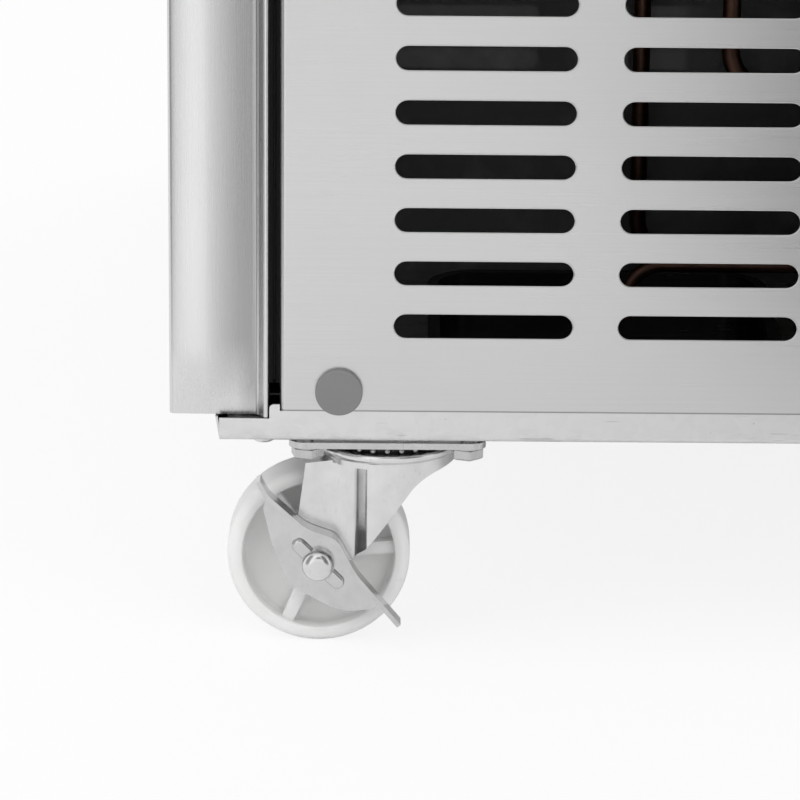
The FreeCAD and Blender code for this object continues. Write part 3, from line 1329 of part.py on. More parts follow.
def refrigerant_lines():
    """The discharge, suction and process tubes of the compressor, and the liquid line with its drier."""
    place = compressor_place()
    x, y, z = condenser_place()
    rows = coil_rows(CONDENSER_HEIGHT)
    header_x = line_x()
    header_y = y + CONDENSER_DEPTH * COIL_TUBE_SHARE
    top_bend = z + CONDENSER_HEIGHT * (rows - 0.5) / rows + COIL_TUBE / 2
    low_bend = z + CONDENSER_HEIGHT * 0.5 / rows
    high = MACHINE_TOP - PIPE_BEND
    port_y = place.y - COMPRESSOR_RADIUS + COMPRESSOR_SEAM
    port_z = place.z + PORT_LEVEL
    lane_y = port_y - 3 * PIPE_BEND
    discharge = tube([V(place.x, port_y, port_z), V(place.x, lane_y, port_z), V(place.x, lane_y, high),
                      V(header_x, lane_y, high), V(header_x, header_y, high),
                      V(header_x, header_y, top_bend)], PIPE_RADIUS, PIPE_BEND)
    can_top = place + V(0, 0, COMPRESSOR_HEIGHT)
    suction = rod(PIPE_RADIUS, can_top, UP, MACHINE_CEILING - can_top.z)
    process_z = place.z + PROCESS_LEVEL
    process_y = port_y - PROCESS_REACH
    process = tube([V(place.x, port_y, process_z), V(place.x, process_y, process_z),
                    V(place.x, process_y, process_z - PROCESS_DROP)], PROCESS_RADIUS, PIPE_BEND)
    front = header_y - COIL_TUBE / 2
    turn_y = lane_y - 2 * PIPE_BEND
    liquid = tube([V(header_x, front, low_bend), V(header_x, turn_y, low_bend),
                   V(header_x, turn_y, MACHINE_CEILING)], PIPE_RADIUS, PIPE_BEND)
    profile = [(0, 0, 0), (DRIER_RADIUS, 0, DRIER_SHOULDER),
               (DRIER_RADIUS, DRIER_LENGTH, DRIER_SHOULDER), (0, DRIER_LENGTH, 0)]
    drier = turned(profile, V(header_x, shroud_front() - PIPE_BEND, low_bend), -REARWARD)
    return group([discharge, suction, process, fused([liquid, drier])])


def condensate_tray():
    """An open tray with round corners and a rolled rim, on the base pan in front of the compressor."""
    x1 = FOAM_X - TRAY_FROM_PANEL
    y0 = BODY_FRONT + TRAY_FROM_FRONT
    y1 = compressor_place().y - COMPRESSOR_RADIUS - TRAY_BACK_GAP

    def block(grow, low, high, radius):
        x0, front, right, back = x1 - TRAY_WIDTH - grow, y0 - grow, x1 + grow, y1 + grow
        corners = [(x0, front, radius), (right, front, radius), (right, back, radius), (x0, back, radius)]
        return prism(corners, on_xy(BASE_FLOOR + low), V(0, 0, high - low))

    rim = block(TRAY_RIM, TRAY_HEIGHT - TRAY_RIM_THICKNESS, TRAY_HEIGHT, TRAY_CORNER + TRAY_RIM)
    top = BASE_FLOOR + TRAY_HEIGHT
    upper = [edge for edge in rim.Edges if edge.CenterOfMass.z > top - NEAR]
    rim = rim.makeFillet(TRAY_RIM_THICKNESS / 3, upper)
    wall = block(0.0, 0.0, TRAY_HEIGHT - TRAY_RIM_THICKNESS, TRAY_CORNER)
    hollow = block(-TRAY_WALL, TRAY_WALL, TRAY_HEIGHT, TRAY_CORNER - TRAY_WALL)
    return fused([rim, wall]).cut(hollow)


def gland_place():
    """Where the supply cord enters, low on the outer face of the rear grille."""
    return V(MACHINE_X + 3 * GLAND_RADIUS, BODY_BACK + GRILLE_DEPTH, PANEL_BOTTOM + 2 * GLAND_RADIUS)


def cable_gland():
    """A bored bush with a flange on the grille."""
    place = gland_place()
    flange = rod(GLAND_RADIUS, place, REARWARD, GLAND_PROUD)
    neck = rod(GLAND_NECK, place - V(0, 2 * SHEET, 0), REARWARD, 2 * SHEET)
    bore = rod(GLAND_BORE, place - V(0, 2 * SHEET, 0), REARWARD, 2 * SHEET + GLAND_PROUD)
    return fused([flange, neck]).cut(bore)


def pan_screw(start, outward, length):
    """A domed screw head on a surface, with its shank going in."""
    head = turned([(0, 0, 0), (SCREW_HEAD_RADIUS, 0, 0),
                   (SCREW_HEAD_RADIUS, SCREW_HEAD_HEIGHT, SCREW_HEAD_ROUND),
                   (0, SCREW_HEAD_HEIGHT, 0)], start, outward)
    return fused([head, rod(SCREW_RADIUS, start, -outward, length)])


def cabinet_fasteners():
    """The screws of the machine cover and the rear grille, and the bolts of the bottom hinges."""
    screws = [pan_screw(V(x, BODY_FRONT, z), -REARWARD, FRAME_SHEET) for x, z in cover_screw_places()]
    screws += [pan_screw(V(x, BODY_BACK + SHEET, z), REARWARD, SHEET) for x, z in grille_screws()]
    for x, y in hinge_bolt_places():
        head = turned([(0, 0, 0), (HINGE_BOLT_RADIUS, 0, 0),
                       (HINGE_BOLT_RADIUS, HINGE_BOLT_HEAD, HINGE_BOLT_ROUND), (0, HINGE_BOLT_HEAD, 0)],
                      V(x, y, BASE_BOTTOM), -UP)
        screws.append(fused([head, rod(SCREW_RADIUS, V(x, y, BASE_BOTTOM), UP, TONGUE_HEIGHT)]))
    return group(screws)


# Casters


def caster_places():
    """The swivel axis of each caster."""
    x = BODY_X - CASTER_INSET
    front = BODY_FRONT + CASTER_FROM_FRONT
    rear = BODY_BACK - CASTER_FROM_BACK
    return {"front_right": (x, front), "front_left": (-x, front),
            "rear_right": (x, rear), "rear_left": (-x, rear)}


def bolt_places():
    """The four bolts of every caster."""
    places = []
    for x, y in caster_places().values():
        for sx in SIDES.values():
            for sy in SIDES.values():
                places.append((x + sx * BOLT_SPACING_X / 2, y + sy * BOLT_SPACING_Y / 2))
    return places


def caster_bolts():
    """Flanged hexagon bolts from below, through plate, pad and pan."""
    bolts = []
    under = CASTER_HEIGHT - PLATE_THICKNESS
    for x, y in bolt_places():
        flange = rod(BOLT_FLANGE_RADIUS, V(x, y, under), -UP, BOLT_FLANGE_HEIGHT)
        head = hexagon(BOLT_FLATS, V(x, y, under - BOLT_FLANGE_HEIGHT), -UP, BOLT_HEAD)
        shank = rod(BOLT_RADIUS, V(x, y, under), UP, PLATE_THICKNESS + PAD_THICKNESS + BASE_SHEET)
        bolts.append(fused([flange, head, shank]))
    return group(bolts)


CROWN_TOP = CASTER_HEIGHT - PLATE_THICKNESS - CUP_BELOW_PLATE - CUP_RIM
CROWN_BOTTOM = CROWN_TOP - FORK_SHEET
AXLE_Z = WHEEL_DIAMETER / 2
LEVER_INNER = FORK_LEG_OUTER + LEVER_GAP
LEVER_OUTER = LEVER_INNER + LEVER_SHEET


def caster_plate():
    """A top plate with its pressed race and the king pin, about a swivel axis at the origin."""
    half_x = PLATE_WIDTH / 2
    half_y = PLATE_LENGTH / 2
    under = CASTER_HEIGHT - PLATE_THICKNESS
    plate = prism([(-half_x, -half_y, PLATE_CORNER), (half_x, -half_y, PLATE_CORNER),
                   (half_x, half_y, PLATE_CORNER), (-half_x, half_y, PLATE_CORNER)],
                  on_xy(under), V(0, 0, PLATE_THICKNESS))
    race = turned([(RACE_BORE, 0, 0), (RACE_RADIUS, 0, 0), (RACE_RADIUS, RACE_DROP, RACE_EDGE_RADIUS),
                   (RACE_BORE, RACE_DROP, RACE_BORE_RADIUS)], V(0, 0, under), -UP)
    pin = rod(KING_PIN_RADIUS, V(0, 0, under), -UP, under - CROWN_BOTTOM + KING_PIN_HEAD)
    head = rod(KING_PIN_HEAD_RADIUS, V(0, 0, CROWN_BOTTOM), -UP, KING_PIN_HEAD)
    holes = [rod(BOLT_RADIUS, V(sx * BOLT_SPACING_X / 2, sy * BOLT_SPACING_Y / 2, under), UP,
                 PLATE_THICKNESS) for sx in SIDES.values() for sy in SIDES.values()]
    return fused([plate, race, pin, head]).cut(group(holes))


def caster_plates():
    return group([moved(caster_plate(), V(x, y, 0)) for x, y in caster_places().values()])


def tangent(point, centre, radius, side):
    """Where a line from a point touches a circle, on one side of it."""
    du, dv = point[0] - centre[0], point[1] - centre[1]
    turn = math.atan2(dv, du) + side * math.acos(radius / math.hypot(du, dv))
    return centre[0] + radius * math.cos(turn), centre[1] + radius * math.sin(turn)


def fork_plan(shrink):
    """The fork's wall from above, inside its outer face by a shrink: two legs that splay to a half round."""
    leg = FORK_LEG_OUTER - shrink
    cup = CUP_RADIUS - shrink
    front = -CASTER_TRAIL - FORK_END_RADIUS - FORK_SHEET
    turn = math.atan2(CUP_RADIUS - FORK_LEG_OUTER, FORK_FLARE)
    crease = shrink * math.tan(turn / 2) - FORK_CREASE
    shoulder = crease + FORK_FLARE
    corners = [(-cup, 0, 0), (-cup, shoulder, FORK_SHOULDER_RADIUS), (-leg, crease, FORK_CREASE_RADIUS),
               (-leg, front, 0), (leg, front, 0), (leg, crease, FORK_CREASE_RADIUS),
               (cup, shoulder, FORK_SHOULDER_RADIUS), (cup, 0, 0)]
    lines = path_edges(corners, on_xy(0), False)
    round_end = Part.Arc(V(cup, 0, 0), V(0, cup, 0), V(-cup, 0, 0)).toShape()
    return Part.Face(Part.Wire(lines + [round_end]))


def fork_side():
    """The fork from its side: upright in front, round at the axle, swept up behind to the cup."""
    centre = (-CASTER_TRAIL, AXLE_Z)
    front_top = (-FORK_FRONT_TOP, CROWN_TOP)
    knee = (FORK_KNEE_BACK, CROWN_BOTTOM - FORK_KNEE_DROP)
    front_touch = tangent(front_top, centre, FORK_END_RADIUS, 1.0)
    rear_touch = tangent(knee, centre, FORK_END_RADIUS, -1.0)
    back = CUP_RADIUS + FORK_SHEET
    corners = [(*front_top, 0), (*front_touch, 0), (*rear_touch, 0), (*knee, FORK_KNEE_RADIUS),
               (back, CROWN_BOTTOM, 0), (back, CROWN_TOP, 0)]
    reach = V(4 * CUP_RADIUS, 0, 0)
    sweep = prism(corners, on_yz(-2 * CUP_RADIUS), reach)
    end = rod(FORK_END_RADIUS, V(-2 * CUP_RADIUS, *centre), ACROSS, 4 * CUP_RADIUS)
    return sweep.fuse(end)


def shoulder_cut():
    """What is pressed off a leg's upper edge, most at the front."""
    beyond = FORK_SHEET

    def corner(y, drop):
        inner = V(FORK_LEG_OUTER - drop - beyond, y, CROWN_TOP + beyond)
        lower = V(FORK_LEG_OUTER + beyond, y, CROWN_TOP - drop - beyond)
        outer = V(FORK_LEG_OUTER + beyond, y, CROWN_TOP + beyond)
        return Part.makePolygon([inner, lower, outer, inner])

    return Part.makeLoft([corner(-FORK_FRONT_TOP - FORK_SHEET, FORK_SHOULDER_FRONT),
                          corner(-FORK_CREASE, FORK_SHOULDER_BACK)], True, True)


def caster_fork():
    """A stamped fork about a swivel axis at the origin: bent wall, crown and cup."""
    drop = V(0, 0, CROWN_TOP)
    wall = fork_plan(0.0).extrude(drop).cut(fork_plan(FORK_SHEET).extrude(drop)).common(fork_side())
    bridge = box(-FORK_LEG_OUTER, FORK_LEG_OUTER, -FORK_FRONT_TOP, 0, CROWN_BOTTOM, CROWN_TOP)
    crown = bridge.fuse(rod(CUP_RADIUS, V(0, 0, CROWN_BOTTOM), UP, FORK_SHEET))
    roll = CUP_RADIUS + CUP_ROLL
    rim = turned([(CUP_RADIUS - FORK_SHEET, 0, 0), (CUP_RADIUS, 0, 0),
                  (roll, CUP_RIM - CUP_ROLL_HEIGHT, CUP_RIM_RADIUS), (roll, CUP_RIM, CUP_RIM_RADIUS),
                  (CUP_RADIUS - FORK_SHEET, CUP_RIM, CUP_RIM_RADIUS)], V(0, 0, CROWN_TOP), UP)
    pressed = shoulder_cut()
    body = fused([wall, crown]).cut(group([pressed, mirrored(pressed)]))
    fork = fused([body, rim])
    pin_hole = rod(KING_PIN_RADIUS + KING_PIN_CLEARANCE, V(0, 0, CROWN_BOTTOM), UP, FORK_SHEET)
    axle_hole = rod(AXLE_RADIUS, V(-CUP_RADIUS, -CASTER_TRAIL, AXLE_Z), ACROSS, 2 * CUP_RADIUS)
    return fork.cut(group([pin_hole, axle_hole]))


def caster_axle(braked):
    """A shouldered axle with a domed head outside the lever, or outside the leg where there is none."""
    seat = LEVER_OUTER + LEVER_RIDGE_HEIGHT if braked else FORK_LEG_OUTER
    start = V(-FORK_LEG_OUTER, -CASTER_TRAIL, AXLE_Z)
    dome = [(0, 0, 0), (AXLE_HEAD_RADIUS, 0, 0), (AXLE_HEAD_RADIUS, AXLE_HEAD_HEIGHT, AXLE_HEAD_ROUND),
            (0, AXLE_HEAD_HEIGHT, 0)]
    shank = rod(AXLE_RADIUS, start, ACROSS, FORK_LEG_OUTER + seat)
    outer = turned(dome, V(seat, -CASTER_TRAIL, AXLE_Z), ACROSS)
    return fused([shank, outer, turned(dome, start, -ACROSS)])


def caster_wheel():
    """A moulded wheel: hub, web, rim and ribs on both sides."""
    bore = AXLE_RADIUS + AXLE_CLEARANCE
    radius = WHEEL_DIAMETER / 2
    half = WHEEL_WIDTH / 2
    hub = FORK_LEG_OUTER - FORK_SHEET - HUB_GAP
    web = WEB_THICKNESS / 2
    near = [(bore, hub, 0), (HUB_RADIUS, hub, HUB_EDGE_RADIUS), (HUB_RADIUS, web, WEB_FILLET),
            (RIM_INNER_RADIUS, web, WEB_FILLET), (RIM_INNER_RADIUS, half, RIM_EDGE_RADIUS),
            (radius, half, WHEEL_EDGE_RADIUS)]
    profile = near + [(r, -b, fillet) for r, b, fillet in near[::-1]]
    start = V(0, -CASTER_TRAIL, AXLE_Z)
    shapes = [turned(profile, start, ACROSS)]
    reach = half - WHEEL_RIB_RECESS
    for index in range(WHEEL_RIBS):
        rib = box(-reach, reach, HUB_RADIUS - WEB_FILLET / 2, RIM_INNER_RADIUS + WEB_FILLET / 2,
                  -WHEEL_RIB_WIDTH / 2, WHEEL_RIB_WIDTH / 2)
        rib.rotate(V(0, 0, 0), ACROSS, WHEEL_RIB_ANGLE + 360.0 * index / WHEEL_RIBS)
        shapes.append(moved(rib, start))
    return fused(shapes)


def brake_lever():
    """A double-ended lever on the axle: a leaf beside the leg and an S-shaped tread turned outward."""
    leaf = LEVER_TREAD[1:5] + LEVER_LEAF
    leaf[0] = (*leaf[0][:2], 0)
    origin = V(0, -CASTER_TRAIL, AXLE_Z)
    web = prism(leaf, on_yz(LEVER_INNER), V(LEVER_SHEET, 0, 0))
    flange = folded(LEVER_TREAD, -LEVER_SHEET, on_yz(LEVER_INNER), V(LEVER_SHEET + LEVER_FLANGE, 0, 0))
    ridge = obround((0, 0), LEVER_RIDGE_LENGTH, LEVER_RIDGE_WIDTH, on_yz(LEVER_OUTER),
                    V(LEVER_RIDGE_HEIGHT, 0, 0))
    crest = LEVER_OUTER + LEVER_RIDGE_HEIGHT - NEAR
    ridge = ridge.makeFillet(LEVER_RIDGE_ROUND, [edge for edge in ridge.Edges if edge.CenterOfMass.x > crest])
    ridge.rotate(V(0, 0, 0), ACROSS, LEVER_RIDGE_TURN)
    seat = rod(AXLE_HEAD_RADIUS, V(LEVER_OUTER, 0, 0), ACROSS, LEVER_RIDGE_HEIGHT)
    bore = rod(AXLE_RADIUS + AXLE_CLEARANCE, V(LEVER_INNER, 0, 0), ACROSS, LEVER_SHEET + LEVER_RIDGE_HEIGHT)
    return moved(fused([web, flange, seat, ridge]).cut(bore), origin)


def casters():
    """The fork with its axle, the wheel and, in front, the brake lever of each caster."""
    nodes = {}
    for place, (x, y) in caster_places().items():
        offset = V(x, y, 0)
        braked = place.startswith("front")
        axle = caster_axle(braked)
        lever = brake_lever()
        if x < 0:
            axle = mirrored(axle)
            lever = mirrored(lever)
        nodes[f"caster_{place}_fork"] = moved(group([caster_fork(), axle]), offset)
        nodes[f"caster_{place}_wheel"] = moved(caster_wheel(), offset)
        if braked:
            nodes[f"brake_{place}"] = moved(lever, offset)
    return nodes


def doors():
    """The five pieces of each door."""
    nodes = {}
    for name, side in SIDES.items():
        nodes[f"door_{name}_skin"] = door_skin(side)
        nodes[f"door_{name}_foam"] = door_foam(side)
        nodes[f"door_{name}_liner"] = door_liner(side)
        nodes[f"door_{name}_gasket"] = door_gasket(side)
        nodes[f"door_{name}_bushes"] = door_bushes(side)
    return nodes


def cabinet():
    """Everything that is fixed to the body."""
    return {
        "worktop": worktop(),
        "worktop_core": worktop_core(),
        "side_panel_right": vented_panel(),
        "side_panel_left": side_panel(-1.0),
        "back_panel": back_panel(),
        "rear_grille": rear_grille(),
        "base_frame": base_frame(),
        "front_frame": front_frame(),
        "machine_cover": machine_cover(),
        "inner_liner": inner_liner(),
        "insulation": insulation(),
        "machine_lining": machine_lining(),
        "control_fascia": control_fascia(),
        "thermostat_case": thermostat_case(),
        "thermostat_window": thermostat_window(),
        "switch_frame": switch_frame(),
        "side_caps": side_caps(),
        "hinges": hinges(),
        "shelf_uprights": shelf_uprights(),
        "shelf_clips": shelf_clips(),
        "shelves": shelves(),
        "cable_gland": cable_gland(),
        "cabinet_fasteners": cabinet_fasteners(),
        "caster_plates": caster_plates(),
        "caster_bolts": caster_bolts(),
    }


def refrigeration():
    """The evaporator under the ceiling and the condensing unit behind the vented panel."""
    return {
        "evaporator_coil": evaporator_coil(),
        "evaporator_cover": evaporator_cover(),
        "evaporator_fan": moved(fan_rotor(EVAPORATOR_FAN_RADIUS), evaporator_fan_place() + V(0, SHEET, 0)),
        "drip_tray": drip_tray(),
        "compressor": compressor(),
        "compressor_feet": compressor_feet(),
        "condenser": condenser(),
        "fan_shroud": fan_shroud(),
        "fan_motors": fan_motors(),
        "condenser_fan": moved(fan_rotor(CONDENSER_FAN_RADIUS), condenser_fan_place()),
        "refrigerant_lines": refrigerant_lines(),
        "condensate_tray": condensate_tray(),
    }


def controls():
    """The pieces that a finger moves."""
    nodes = {name: button(name) for name in button_centres()}
    nodes["power_switch"] = power_switch()
    return nodes


def main():
    os.makedirs("parts", exist_ok=True)
    for nodes in (cabinet(), refrigeration(), controls(), doors(), casters()):
        for name, shape in nodes.items():
            shape.exportStep(f"parts/{name}.step")


main()
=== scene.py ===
"""Dressed model of a two-door refrigerated counter that stands on four casters."""

import json
import logging
import math
from collections.abc import Callable, Sequence
from dataclasses import dataclass
from enum import Enum
from typing import ClassVar

import bmesh
import bpy
from mathutils import Matrix, Vector

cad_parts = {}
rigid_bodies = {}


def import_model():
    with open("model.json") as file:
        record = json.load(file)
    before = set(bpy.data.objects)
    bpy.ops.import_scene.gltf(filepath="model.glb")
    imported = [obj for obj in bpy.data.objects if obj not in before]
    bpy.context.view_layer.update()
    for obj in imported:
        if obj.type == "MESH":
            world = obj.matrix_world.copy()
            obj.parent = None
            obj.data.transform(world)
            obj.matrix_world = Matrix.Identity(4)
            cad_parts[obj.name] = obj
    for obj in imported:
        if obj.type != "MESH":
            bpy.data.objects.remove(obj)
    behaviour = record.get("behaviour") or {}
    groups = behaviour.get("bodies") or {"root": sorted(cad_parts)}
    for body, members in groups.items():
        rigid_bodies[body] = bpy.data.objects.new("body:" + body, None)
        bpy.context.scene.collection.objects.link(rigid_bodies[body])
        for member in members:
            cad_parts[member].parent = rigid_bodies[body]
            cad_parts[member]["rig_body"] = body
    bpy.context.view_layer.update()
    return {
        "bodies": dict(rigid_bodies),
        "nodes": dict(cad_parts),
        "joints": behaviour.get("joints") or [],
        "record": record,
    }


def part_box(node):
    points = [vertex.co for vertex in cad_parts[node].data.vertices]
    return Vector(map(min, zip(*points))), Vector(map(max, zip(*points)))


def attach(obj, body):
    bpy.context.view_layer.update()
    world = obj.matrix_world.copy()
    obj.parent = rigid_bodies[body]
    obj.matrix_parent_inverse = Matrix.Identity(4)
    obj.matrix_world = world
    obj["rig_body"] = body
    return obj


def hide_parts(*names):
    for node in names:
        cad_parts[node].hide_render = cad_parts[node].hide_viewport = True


LOG = logging.getLogger("counter")
MM = 0.001
WELD = 0.002 * MM
SHARP_ANGLE = 40.0
EDGE_STEPS = 2
CASTER_PLACES = ("front_right", "front_left", "rear_right", "rear_left")
Colour = tuple[float, float, float]
Spot = tuple[float, float, float]
Socket = bpy.types.NodeSocket
Material = bpy.types.Material
Piece = bpy.types.Object


class Grain(Enum):
    """The direction in which a sheet was brushed, as its lines per metre along X, Y and Z."""

    ACROSS = (5.0, 1500.0, 1500.0)
    REARWARD = (1500.0, 5.0, 1500.0)
    UPRIGHT = (1500.0, 1500.0, 5.0)


class Value:
    """A number socket that takes part in sums."""

    def __init__(self, graph: "Graph", socket: Socket) -> None:
        """Keeps the socket and the graph that it belongs to."""
        self.graph = graph
        self.socket = socket

    def _sum(self, operation: str, first: object, second: object) -> "Value":
        """Adds one Math node for two values or numbers, and gives its result."""
        made = self.graph.node("ShaderNodeMath", {0: first, 1: second}, operation=operation)
        return Value(self.graph, made.outputs[0])

    def __add__(self, other: object) -> "Value":
        """Adds a value or a number."""
        return self._sum("ADD", self, other)

    __radd__ = __add__

    def __sub__(self, other: object) -> "Value":
        """Takes a value or a number away."""
        return self._sum("SUBTRACT", self, other)

    def __rsub__(self, other: object) -> "Value":
        """Takes this away from a number."""
        return self._sum("SUBTRACT", other, self)

    def __mul__(self, other: object) -> "Value":
        """Multiplies by a value or a number."""
        return self._sum("MULTIPLY", self, other)

    __rmul__ = __mul__

    def __gt__(self, other: object) -> "Value":
        """Gives 1 where this is greater, else 0."""
        return self._sum("GREATER_THAN", self, other)

    def __lt__(self, other: object) -> "Value":
        """Gives 1 where this is less, else 0."""
        return self._sum("LESS_THAN", self, other)


class Graph:
    """A node tree that is filled by one method."""

    def __init__(self, tree: bpy.types.NodeTree) -> None:
        """Keeps the tree that is filled."""
        self.tree = tree

    def node(self, kind: str, inputs: dict | None = None, **settings: object) -> bpy.types.Node:
        """Adds one node.

        Args:
            kind: the node's type.
            inputs: a number, a Value or a socket for each input.
            settings: its own settings, which are set first.

        Returns:
            The new node.
        """
        made = self.tree.nodes.new(kind)
        for key, setting in settings.items():
            setattr(made, key, setting)
        for key, given in (inputs or {}).items():
            source = given.socket if isinstance(given, Value) else given
            if isinstance(source, Socket):
                self.tree.links.new(source, made.inputs[key])
            else:
                made.inputs[key].default_value = source
        return made

    def ray(self, kind: str) -> Value:
        """Gives 1 on rays of that kind, else 0."""
        return Value(self, self.node("ShaderNodeLightPath").outputs[f"Is {kind} Ray"])


class Recipe(Graph):
    """The node tree of one finish."""

    def __init__(self, name: str) -> None:
        """Starts an empty material.

        Args:
            name: the material's name.
        """
        self.material = bpy.data.materials.new(name)
        self.material.use_nodes = True
        super().__init__(self.material.node_tree)
        self.tree.nodes.clear()
        self.output = self.node("ShaderNodeOutputMaterial")
        self.place = self.node("ShaderNodeTexCoord").outputs["Object"]

    def noise(self, scale: float | Spot, detail: float = 2.0, rough: float = 0.5) -> Value:
        """Adds a noise over the surface.

        Args:
            scale: how often it changes per metre, the same all ways or along X, Y and Z.
            detail: how many finer layers it has.
            rough: how strong the finer layers are.

        Returns:
            Its value, from 0 to 1.
        """
        spread = scale if isinstance(scale, tuple) else (scale,) * 3
        scaled = self.node("ShaderNodeMapping", {"Vector": self.place, "Scale": spread})
        made = self.node("ShaderNodeTexNoise", {
            "Vector": scaled.outputs[0], "Scale": 1.0, "Detail": detail, "Roughness": rough})
        return Value(self, made.outputs[0])

    def axes(self) -> tuple[Value, ...]:
        """Gives the place on the surface along X, Y and Z, in metres."""
        split = self.node("ShaderNodeSeparateXYZ", {0: self.place})
        return tuple(Value(self, made) for made in split.outputs)

    def height(self) -> Value:
        """Gives the height over the floor, in metres."""
        return self.axes()[2]

    def cells(self, scale: float) -> tuple[Value, ...]:
        """Adds so many cells per metre: gives the distance to a cell's middle, and the cell's own shade."""
        made = self.node("ShaderNodeTexVoronoi", {"Vector": self.place, "Scale": scale})
        return tuple(Value(self, made.outputs[name]) for name in ("Distance", "Color"))

    def shade(self, mask: Value, low: float, high: float) -> Value:
        """Spreads a mask from low to high, held to 0 and 1 outside them."""
        ends = {"Value": mask, "From Min": low, "From Max": high}
        return Value(self, self.node("ShaderNodeMapRange", ends, clamp=True).outputs[0])

    def mix(self, share: Value, first: object, second: object) -> Socket:
        """Mixes two colours or colour sockets; the share is how much of the second shows."""
        pair = [(*c, 1.0) if isinstance(c, tuple) else c for c in (first, second)]
        return self.node("ShaderNodeMix", {0: share, 6: pair[0], 7: pair[1]}, data_type="RGBA").outputs[2]

    def bump(self, height: Value, depth: float, strength: float) -> Socket:
        """Turns a height from 0 to 1, of a real depth in metres, into a normal that shows some of it."""
        made = self.node("ShaderNodeBump", {"Height": height, "Distance": depth, "Strength": strength})
        return made.outputs[0]

    def coat(self, inputs: dict) -> Material:
        """Ends the tree in a surface shader with these inputs, and gives the finished material."""
        return self.surface(self.node("ShaderNodeBsdfPrincipled", inputs))

    def surface(self, shader: bpy.types.Node) -> Material:
        """Ends the tree in a shader node, and gives the finished material."""
        self.tree.links.new(shader.outputs[0], self.output.inputs["Surface"])
        return self.material


def grey(level: float) -> Colour:
    """Gives a grey of that level."""
    return (level, level, level)


@dataclass(frozen=True)
class Finish:
    """A finish with a name and the record's slot that it belongs to; its patterns are counted per metre."""

    name: str
    slot: str

    def material(self) -> Material:
        """Makes the material of the finish."""
        raise NotImplementedError


@dataclass(frozen=True)
class BrushedSteel(Finish):
    """Stainless sheet with fine straight brushing and faint smudges."""

    grain: Grain
    tone: float = 0.60
    rough: float = 0.30
    contrast: float = 0.03
    relief: float = 0.2
    groove: float = 0.05 * MM
    shorter: float = 4.0
    closer: float = 1.9
    smudges: float = 7.0

    def material(self) -> Material:
        """Makes the brushed steel.

        Returns:
            The material.
        """
        recipe = Recipe(self.name)
        brushed = self.grain.value
        finer = tuple(s * (self.shorter if s == min(brushed) else self.closer) for s in brushed)
        lines = recipe.noise(brushed, 3.0, 0.6)
        fine = recipe.noise(finer, 1.0)
        smudge = recipe.noise(self.smudges, 3.0, 0.55)
        grain = lines * 0.65 + fine * 0.35
        darker = grey(self.tone * (1 - self.contrast))
        lighter = grey(self.tone * (1 + self.contrast))
        tint = recipe.mix(recipe.shade(grain, 0.3, 0.7), darker, lighter)
        smudged = recipe.mix(recipe.shade(smudge, 0.45, 0.75) * 0.25, tint, grey(self.tone * 0.93))
        return recipe.coat({
            "Base Color": self.marked(recipe, smudged),
            "Metallic": 1.0,
            "Roughness": self.rough + (grain - 0.5) * 0.16 + (smudge - 0.5) * 0.08,
            "Normal": recipe.bump(grain, self.groove, self.relief)})

    def marked(self, recipe: Recipe, tint: Socket) -> Socket:
        """Gives the sheet's colour with its larger marks, of which a plain sheet has none."""
        return tint


@dataclass(frozen=True)
class RolledSteel(BrushedSteel):
    """Door steel with painted shade in a strip behind the crest of its rolled edges."""

    edge_inset: float = 5.5 * MM
    crest_inset: float = 15.4 * MM
    hollow_inset: float = 4.8 * MM
    valley: float = 9.0 * MM
    shade_full_inset: float = 3.0 * MM
    soft: float = 1.0 * MM
    run_out_from: float = 6.5 * MM
    run_out_to: float = 34.5 * MM
    painted_shade_level: float = 0.60

    def marked(self, recipe: Recipe, tint: Socket) -> Socket:
        """Paints shade behind the crest of each outer edge; low down the painted shade stays only in its
        valley.

        Args:
            recipe: the tree that is filled.
            tint: the brushed colour.

        Returns:
            The colour with the painted shade.
        """
        low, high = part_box("door_right_skin")
        edge = high.x - self.edge_inset
        hollow = high.y - self.hollow_inset
        across, along, height = recipe.axes()
        # Painted shade: the steel behind the crest is darkened in its colour, where the swell would mirror
        # darker surroundings.
        outer = recipe.shade(across * across, edge ** 2, (edge + self.soft) ** 2)
        behind = recipe.shade(along, low.y + self.crest_inset, hollow - self.shade_full_inset)
        eased = behind * (2.0 - behind)
        standing = recipe.shade(height, low.z + self.run_out_from, low.z + self.run_out_to)
        valley = recipe.shade(along, hollow - self.valley, hollow - self.soft)
        kept = standing + (1.0 - standing) * valley
        painted_shade = outer * eased * kept * (along < hollow)
        return recipe.mix(painted_shade, tint, grey(self.tone * self.painted_shade_level))


@dataclass(frozen=True)
class EndSteel(BrushedSteel):
    """End sheet with a painted shadow line along its lower edge, where it stands on the rail."""

    seam: float = 0.8 * MM
    painted_shadow_level: float = 0.6

    def marked(self, recipe: Recipe, tint: Socket) -> Socket:
        """Paints a shadow line into the lowest strip of the sheet.

        Args:
            recipe: the tree that is filled.
            tint: the brushed colour.

        Returns:
            The colour with the painted shadow line.
        """
        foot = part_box("side_panel_right")[0].z
        # Painted shadow: the gap over the rail is shaded in the colour of the sheet.
        line = recipe.shade(recipe.height(), foot + self.seam, foot + self.seam / 2)
        return recipe.mix(line * self.painted_shadow_level, tint, grey(0.08))


